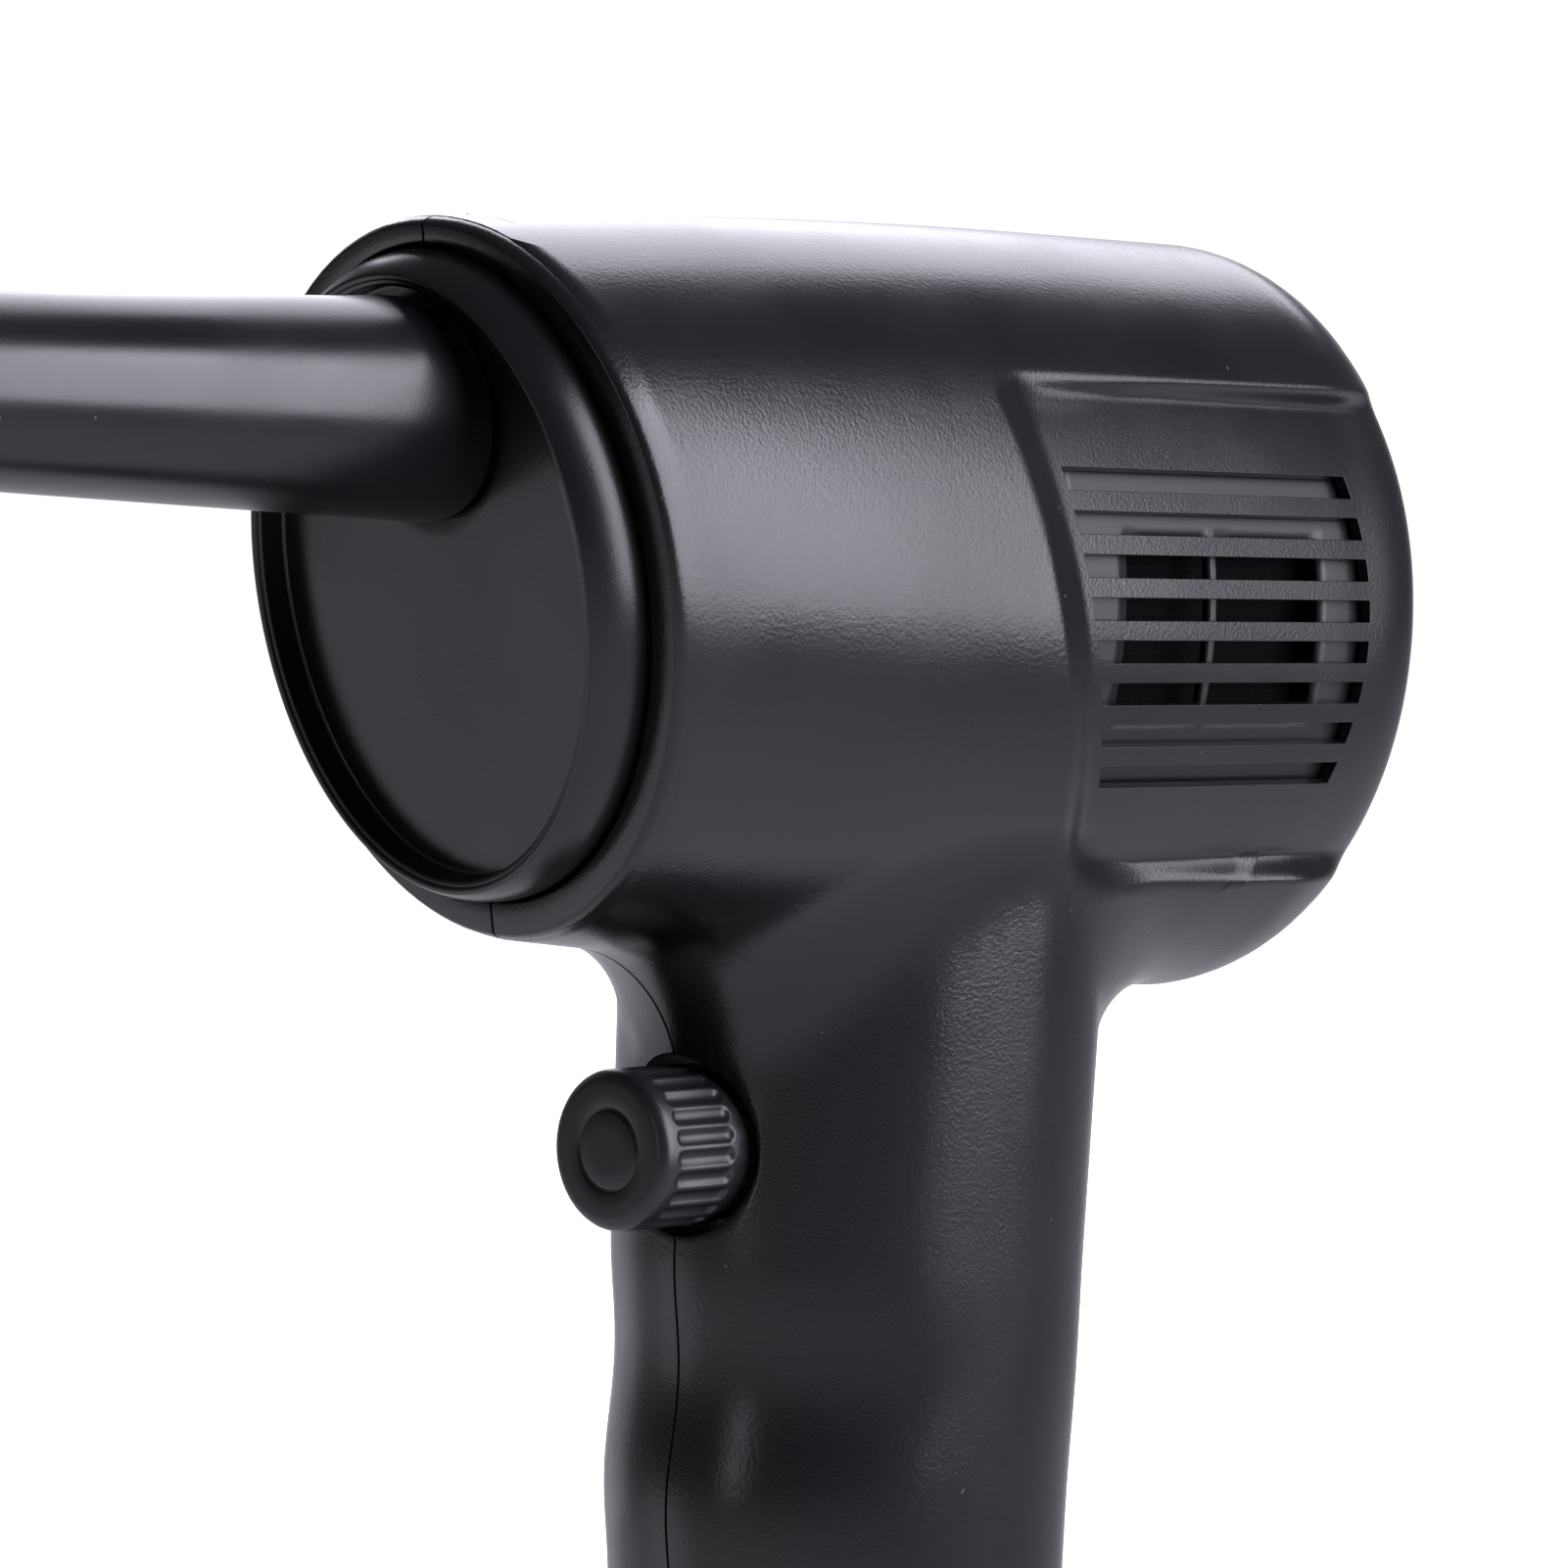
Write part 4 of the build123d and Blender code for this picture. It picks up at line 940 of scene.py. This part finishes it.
def dial():
    """The speed dial: rounded front, a ring groove and flutes with round ends."""
    pitch = 2 * math.pi / FLUTES
    offsets = np.array([-FLUTE_HALF, -0.7, -0.5, -0.26, 0.0, 0.26, 0.5, 0.7, FLUTE_HALF, 0.97])
    angle = np.concatenate([i * pitch + offsets / DIAL_R for i in range(FLUTES)])
    across = np.tile(np.abs(offsets), FLUTES)
    across[len(offsets) - 1::len(offsets)] = FLUTE_HALF

    def ring(radius, along):
        """A ring at a distance along from the dial's front."""
        return circle_points(radius, angle, DIAL_FRONT + along, DIAL_Z)

    profile = [(0.0, 0.0), (2.0, 0.0)] + [(DIAL_GROOVE_R + r, depth) for r, depth in DIAL_GROOVE]
    profile += [(5.3, 0.0)]
    profile += [(r, -a) for r, a in arc((DIAL_R - DIAL_ROUND, -DIAL_ROUND), DIAL_ROUND, 90.0, 0.0, 9)]
    rows = [ring(r, along) for r, along in profile] + [ring(DIAL_R, 1.7)]
    first, last = FLUTE_STRAIGHT
    ends = [FLUTE_HALF, 0.81, 0.76, 0.66, 0.52, 0.35, 0.17, 0.0]
    stops = [first - e for e in ends] + list(np.linspace(first, last, 8)[1:-1])
    stops += [last + e for e in ends[::-1]]
    for along in stops:
        beyond = max(first - along, along - last, 0.0)
        share = np.minimum((across ** 2 + beyond ** 2) / FLUTE_HALF ** 2, 1.0)
        rows.append(ring(DIAL_R - FLUTE_DEPTH * (1 - share), along))
    rows += [ring(DIAL_R, 9.7), ring(DIAL_R, DIAL_LENGTH - 0.7), ring(DIAL_R - 0.3, DIAL_LENGTH - 0.4),
             ring(DIAL_R - 0.4, DIAL_LENGTH), ring(DIAL_HOLLOW_R, DIAL_LENGTH),
             ring(DIAL_HOLLOW_R, DIAL_HOLLOW_FROM), ring(SHAFT_R, DIAL_HOLLOW_FROM),
             ring(SHAFT_R, SHAFT_FROM), ring(0.0, SHAFT_FROM)]
    return ring_mesh("dial_knob", rows)


# -------- materials
MATT_EXTRA = 0.04  # roughness the vent panel has above the rest of the shell
CHARCOAL = (0.0062, 0.0061, 0.0080)
DUST = (0.07, 0.07, 0.075)


def new_material(name):
    """A material with its node tree and its shader."""
    material = bpy.data.materials.new(name)
    material.use_nodes = True
    tree = material.node_tree
    shader = tree.nodes["Principled BSDF"]
    return material, tree, shader


def add_node(tree, kind, constants=None, links=None, **settings):
    """A shader node with its settings, constants on its sockets and links into them."""
    node = tree.nodes.new("ShaderNode" + kind)
    for key, value in settings.items():
        setattr(node, key, value)
    for socket, value in (constants or {}).items():
        node.inputs[socket].default_value = value
    for socket, source in (links or {}).items():
        tree.links.new(source, node.inputs[socket])
    return node


def noise(tree, scale, detail=2.0, roughness=0.5):
    """A noise texture in object space; scale is in features per metre."""
    place = add_node(tree, "TexCoord").outputs["Object"]
    return add_node(tree, "TexNoise", {"Scale": scale, "Detail": detail, "Roughness": roughness},
                    {"Vector": place}).outputs["Fac"]


def ramp(tree, value, low, high, at=(0.35, 0.65)):
    """Turns a value into a colour or number between low and high."""
    return add_node(tree, "MapRange", {"From Min": at[0], "From Max": at[1], "To Min": low, "To Max": high},
                    {"Value": value}).outputs["Result"]


def mix_colour(tree, share, first, second):
    """A colour between first and second by share."""
    return add_node(tree, "Mix", {"A": (*first, 1.0), "B": (*second, 1.0)}, {"Factor": share},
                    data_type="RGBA").outputs["Result"]


def bump(tree, shader, height, distance, strength):
    """Gives the shader a relief; distance is its depth in mm."""
    node = add_node(tree, "Bump", {"Distance": distance * MM, "Strength": strength}, {"Height": height})
    tree.links.new(node.outputs["Normal"], shader.inputs["Normal"])


def moulded_plastic(name, colour, roughness, grain_mm, grain_depth, spread_of_tone=0.25):
    """Moulded plastic: a fine spark-eroded grain, slight tone and gloss changes, a few dust specks."""
    material, tree, shader = new_material(name)
    cloud = noise(tree, 22.0, 3.0)
    darker = tuple(c * (1 - spread_of_tone) for c in colour)
    lighter = tuple(c * (1 + spread_of_tone) for c in colour)
    tone = mix_colour(tree, ramp(tree, cloud, 0.0, 1.0), darker, lighter)
    speck = ramp(tree, noise(tree, 900.0, 1.0), 0.0, 1.0, (0.81, 0.84))
    dusty = add_node(tree, "Mix", {"B": (*DUST, 1.0)}, {"Factor": speck, "A": tone}, data_type="RGBA")
    tree.links.new(dusty.outputs["Result"], shader.inputs["Base Color"])
    gloss = ramp(tree, noise(tree, 60.0, 4.0), roughness - 0.03, roughness + 0.04)
    matt = add_node(tree, "Attribute", attribute_name="matt").outputs["Fac"]
    total = add_node(tree, "Math", {1: MATT_EXTRA}, {0: matt, 2: gloss}, operation="MULTIPLY_ADD")
    tree.links.new(total.outputs[0], shader.inputs["Roughness"])
    bump(tree, shader, noise(tree, 1000.0 / grain_mm, 2.0, 0.6), grain_depth, 1.0)
    shader.inputs["Specular IOR Level"].default_value = 0.5
    return material


def metal(name, colour, roughness):
    """Bare metal with a slight change of tone and gloss."""
    material, tree, shader = new_material(name)
    shader.inputs["Metallic"].default_value = 1.0
    cloud = noise(tree, 120.0, 3.0)
    tone = mix_colour(tree, ramp(tree, cloud, 0.0, 1.0), tuple(c * 0.82 for c in colour), colour)
    tree.links.new(tone, shader.inputs["Base Color"])
    tree.links.new(ramp(tree, noise(tree, 500.0, 3.0), roughness - 0.06, roughness + 0.08),
                   shader.inputs["Roughness"])
    bump(tree, shader, noise(tree, 1800.0, 2.0), 0.02, 0.3)
    return material


def woven_mesh(name, colour):
    """A fine woven mesh: threads crossing at right angles over dark gaps."""
    material, tree, shader = new_material(name)
    place = add_node(tree, "TexCoord").outputs["Object"]
    threads = [add_node(tree, "TexWave", {"Scale": 420.0}, {"Vector": place}, wave_type="BANDS",
                        bands_direction=axis).outputs["Fac"] for axis in ("Y", "Z")]
    top = add_node(tree, "Math", links=dict(enumerate(threads)), operation="MAXIMUM").outputs[0]
    tree.links.new(mix_colour(tree, top, (0.001, 0.001, 0.001), colour), shader.inputs["Base Color"])
    shader.inputs["Roughness"].default_value = 0.8
    shader.inputs["Specular IOR Level"].default_value = 0.08
    bump(tree, shader, top, 0.1, 0.8)
    return material


# colour, roughness, size of the grain and its depth
PLASTICS = {
    "shell_plastic": (CHARCOAL, 0.22, 0.38, 0.027),
    "cup_plastic": (CHARCOAL, 0.26, 0.32, 0.012),
    "nozzle_plastic": (CHARCOAL, 0.26, 0.32, 0.012),
    "dial_plastic": ((0.014, 0.0138, 0.0165), 0.34, 0.3, 0.010),
    "inner_plastic": ((0.010, 0.010, 0.012), 0.42, 0.25, 0.01),
    "rubber": ((0.01, 0.01, 0.01), 0.72, 0.3, 0.015),
    "circuit_board": ((0.012, 0.09, 0.04), 0.3, 0.5, 0.01),
    "chip_black": ((0.012, 0.012, 0.012), 0.5, 0.2, 0.01),
    "cell_wrap": ((0.03, 0.18, 0.24), 0.35, 0.8, 0.01),
    "light_plastic": ((0.6, 0.6, 0.6), 0.25, 0.8, 0.004),
    "lead_red": ((0.4, 0.02, 0.02), 0.5, 0.4, 0.01),
    "lead_black": ((0.012, 0.012, 0.012), 0.5, 0.4, 0.01),
}
# colour and roughness
METALS = {
    "steel": ((0.5, 0.5, 0.51), 0.32),
    "bearing_steel": ((0.7, 0.7, 0.72), 0.15),
    "motor_aluminium": ((0.55, 0.55, 0.58), 0.35),
    "fan_aluminium": ((0.65, 0.65, 0.68), 0.3),
    "magnet_iron": ((0.16, 0.16, 0.17), 0.5),
    "copper": ((0.72, 0.33, 0.18), 0.3),
    "capacitor_can": ((0.5, 0.51, 0.55), 0.3),
    "nickel": ((0.62, 0.6, 0.56), 0.25),
}
MATERIALS = {name: moulded_plastic(name, *look) for name, look in PLASTICS.items()}
MATERIALS.update({name: metal(name, *look) for name, look in METALS.items()})
MATERIALS["filter_mesh"] = woven_mesh("filter_mesh", (0.0025, 0.0025, 0.003))


def dress(piece, slot):
    """Gives a piece the material of its slot."""
    piece.data.materials.clear()
    piece.data.materials.append(MATERIALS[slot])


for part in frame["record"]["subparts"]:
    dress(frame["nodes"][part["node"]], part["material_slot"])

# -------- pieces
for side, node in ((1, "housing_right"), (-1, "housing_left")):
    shell = housing(side)
    dress(shell, "shell_plastic")
    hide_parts(node)
    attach(shell, "casing")
    plate = intake_plate(side)
    dress(plate, "inner_plastic")
    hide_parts("intake_frame_right" if side > 0 else "intake_frame_left")
    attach(plate, "casing")

for build, node, slot_name, body in ((front_cup, "front_cup", "cup_plastic", "casing"),
                                     (nozzle, "nozzle_tube", "nozzle_plastic", "nozzle"),
                                     (dial, "speed_dial", "dial_plastic", "dial")):
    piece = build()
    dress(piece, slot_name)
    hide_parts(node)
    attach(piece, body)


# -------- camera, light and floor
# lengths are metres from here on
CAMERA_TURNS = (44.27, 3.851, 2.716)  # azimuth from -Y toward +X, elevation and roll, in degrees
CAMERA_LENS = 130.13
CAMERA_DISTANCE = 0.55184
CAMERA_ASIDE = 0.008299
AIM_HEIGHT = 0.136855
LIT_CENTRE = Vector((0.0, -0.01, 0.14))
COOL = (0.90, 0.895, 1.0)  # tint of the lamps and of the room's light
ROOM_LIGHT = 0.12
TABLE_LIGHT = 0.85
HORIZON = (-0.5, 0.02)  # between these heights the table's light turns into the room's
BACKDROP_LIGHT = 0.9
BACKDROP_EDGE = (0.86, 0.98)  # cosines to the view's axis between which the backdrop begins
SEEN_WHITE = 1.05  # strength of the white that the camera sees
FLOOR_GLOW = 0.95
FLOOR_HALF = 6.0


def set_camera():
    """A long lens from the front right, a little above, looking at barrel and neck."""
    azimuth, elevation, roll = (math.radians(turn) for turn in CAMERA_TURNS)
    back = Vector((math.sin(azimuth) * math.cos(elevation), -math.cos(azimuth) * math.cos(elevation),
                   math.sin(elevation)))
    level = Vector((math.cos(azimuth), math.sin(azimuth), 0.0))
    rise = back.cross(level)
    right = level * math.cos(roll) + rise * math.sin(roll)
    up = rise * math.cos(roll) - level * math.sin(roll)
    data = bpy.data.cameras.new("camera")
    data.lens = CAMERA_LENS
    data.sensor_width = 36.0
    data.clip_start = 0.05
    data.clip_end = 20.0
    camera = add_object("camera", data)
    place = back * CAMERA_DISTANCE - level * CAMERA_ASIDE + Vector((0.0, 0.0, AIM_HEIGHT))
    turn = Matrix((right, up, back)).transposed().to_4x4()
    camera.matrix_world = Matrix.Translation(place) @ turn
    bpy.context.scene.camera = camera
    return back


def softbox(name, direction, distance, width, height, power, rise=(0.0, 0.0, 1.0)):
    """A rectangular soft light at distance from LIT_CENTRE in a direction, its height along rise."""
    data = bpy.data.lights.new(name, "AREA")
    data.shape = "RECTANGLE"
    data.size = width
    data.size_y = height
    data.energy = power
    data.color = COOL
    lamp = add_object(name, data)
    out = Vector(direction).normalized()
    side = Vector(rise).cross(out).normalized()
    turn = Matrix((side, out.cross(side), out)).transposed().to_4x4()
    lamp.matrix_world = Matrix.Translation(LIT_CENTRE + out * distance) @ turn


def pale_floor():
    """A plain pale sheet the object stands on."""
    mesh = bpy.data.meshes.new("floor")
    work = bmesh.new()
    bmesh.ops.create_grid(work, x_segments=8, y_segments=8, size=FLOOR_HALF)
    work.to_mesh(mesh)
    work.free()
    floor = add_object("floor", mesh)
    material, tree, shader = new_material("floor_paint")
    cloud = ramp(tree, noise(tree, 3.0, 2.0), 0.0, 1.0)
    tone = mix_colour(tree, cloud, (0.86, 0.86, 0.86), (0.9, 0.9, 0.9))
    tree.links.new(tone, shader.inputs["Base Color"])
    shader.inputs["Roughness"].default_value = 0.9
    shader.inputs["Emission Color"].default_value = (1.0, 1.0, 1.0, 1.0)
    shader.inputs["Emission Strength"].default_value = FLOOR_GLOW
    floor.data.materials.append(material)
    floor.visible_glossy = False
    floor.visible_diffuse = False


def set_world(back):
    """White to the eye; as light, a dim room with a lit white backdrop behind the object."""
    world = bpy.data.worlds.new("studio")
    bpy.context.scene.world = world
    world.use_nodes = True
    tree = world.node_tree
    sky = tree.nodes["Background"]
    place = add_node(tree, "TexCoord").outputs["Generated"]
    facing = add_node(tree, "VectorMath", {1: -back}, {0: place}, operation="DOT_PRODUCT")
    height = add_node(tree, "SeparateXYZ", links={0: place}).outputs["Z"]
    room = ramp(tree, height, TABLE_LIGHT, ROOM_LIGHT, HORIZON)
    backdrop = ramp(tree, facing.outputs["Value"], 0.0, BACKDROP_LIGHT, BACKDROP_EDGE)
    total = add_node(tree, "Math", links={0: room, 1: backdrop}, operation="MAXIMUM").outputs[0]
    seen = add_node(tree, "LightPath").outputs["Is Camera Ray"]
    pick = add_node(tree, "Mix", {"B": SEEN_WHITE}, {"Factor": seen, "A": total})
    tree.links.new(pick.outputs["Result"], sky.inputs["Strength"])
    tree.links.new(mix_colour(tree, seen, COOL, (1.0, 1.0, 1.0)), sky.inputs["Color"])


back = set_camera()
softbox("key_box", (0.889, 0.306, 0.342), 1.0, 0.77, 0.95, 15.4)
softbox("side_box", (0.665, 0.664, 0.342), 1.0, 0.18, 0.95, 3.1)
softbox("left_box", (-0.99, 0.10, 0.05), 1.1, 0.6, 0.9, 0.7)
softbox("back_box", (-0.55, 0.62, 0.56), 1.1, 0.9, 0.6, 5.5, rise=(-0.3, -0.3, 0.9))
softbox("low_box", (-0.66, -0.62, -0.36), 1.2, 0.5, 0.4, 0.3)
softbox("front_box", (-0.05, -0.95, 0.05), 1.2, 0.14, 0.5, 0.6)
pale_floor()
set_world(back)
bpy.context.scene.view_settings.view_transform = "Standard"
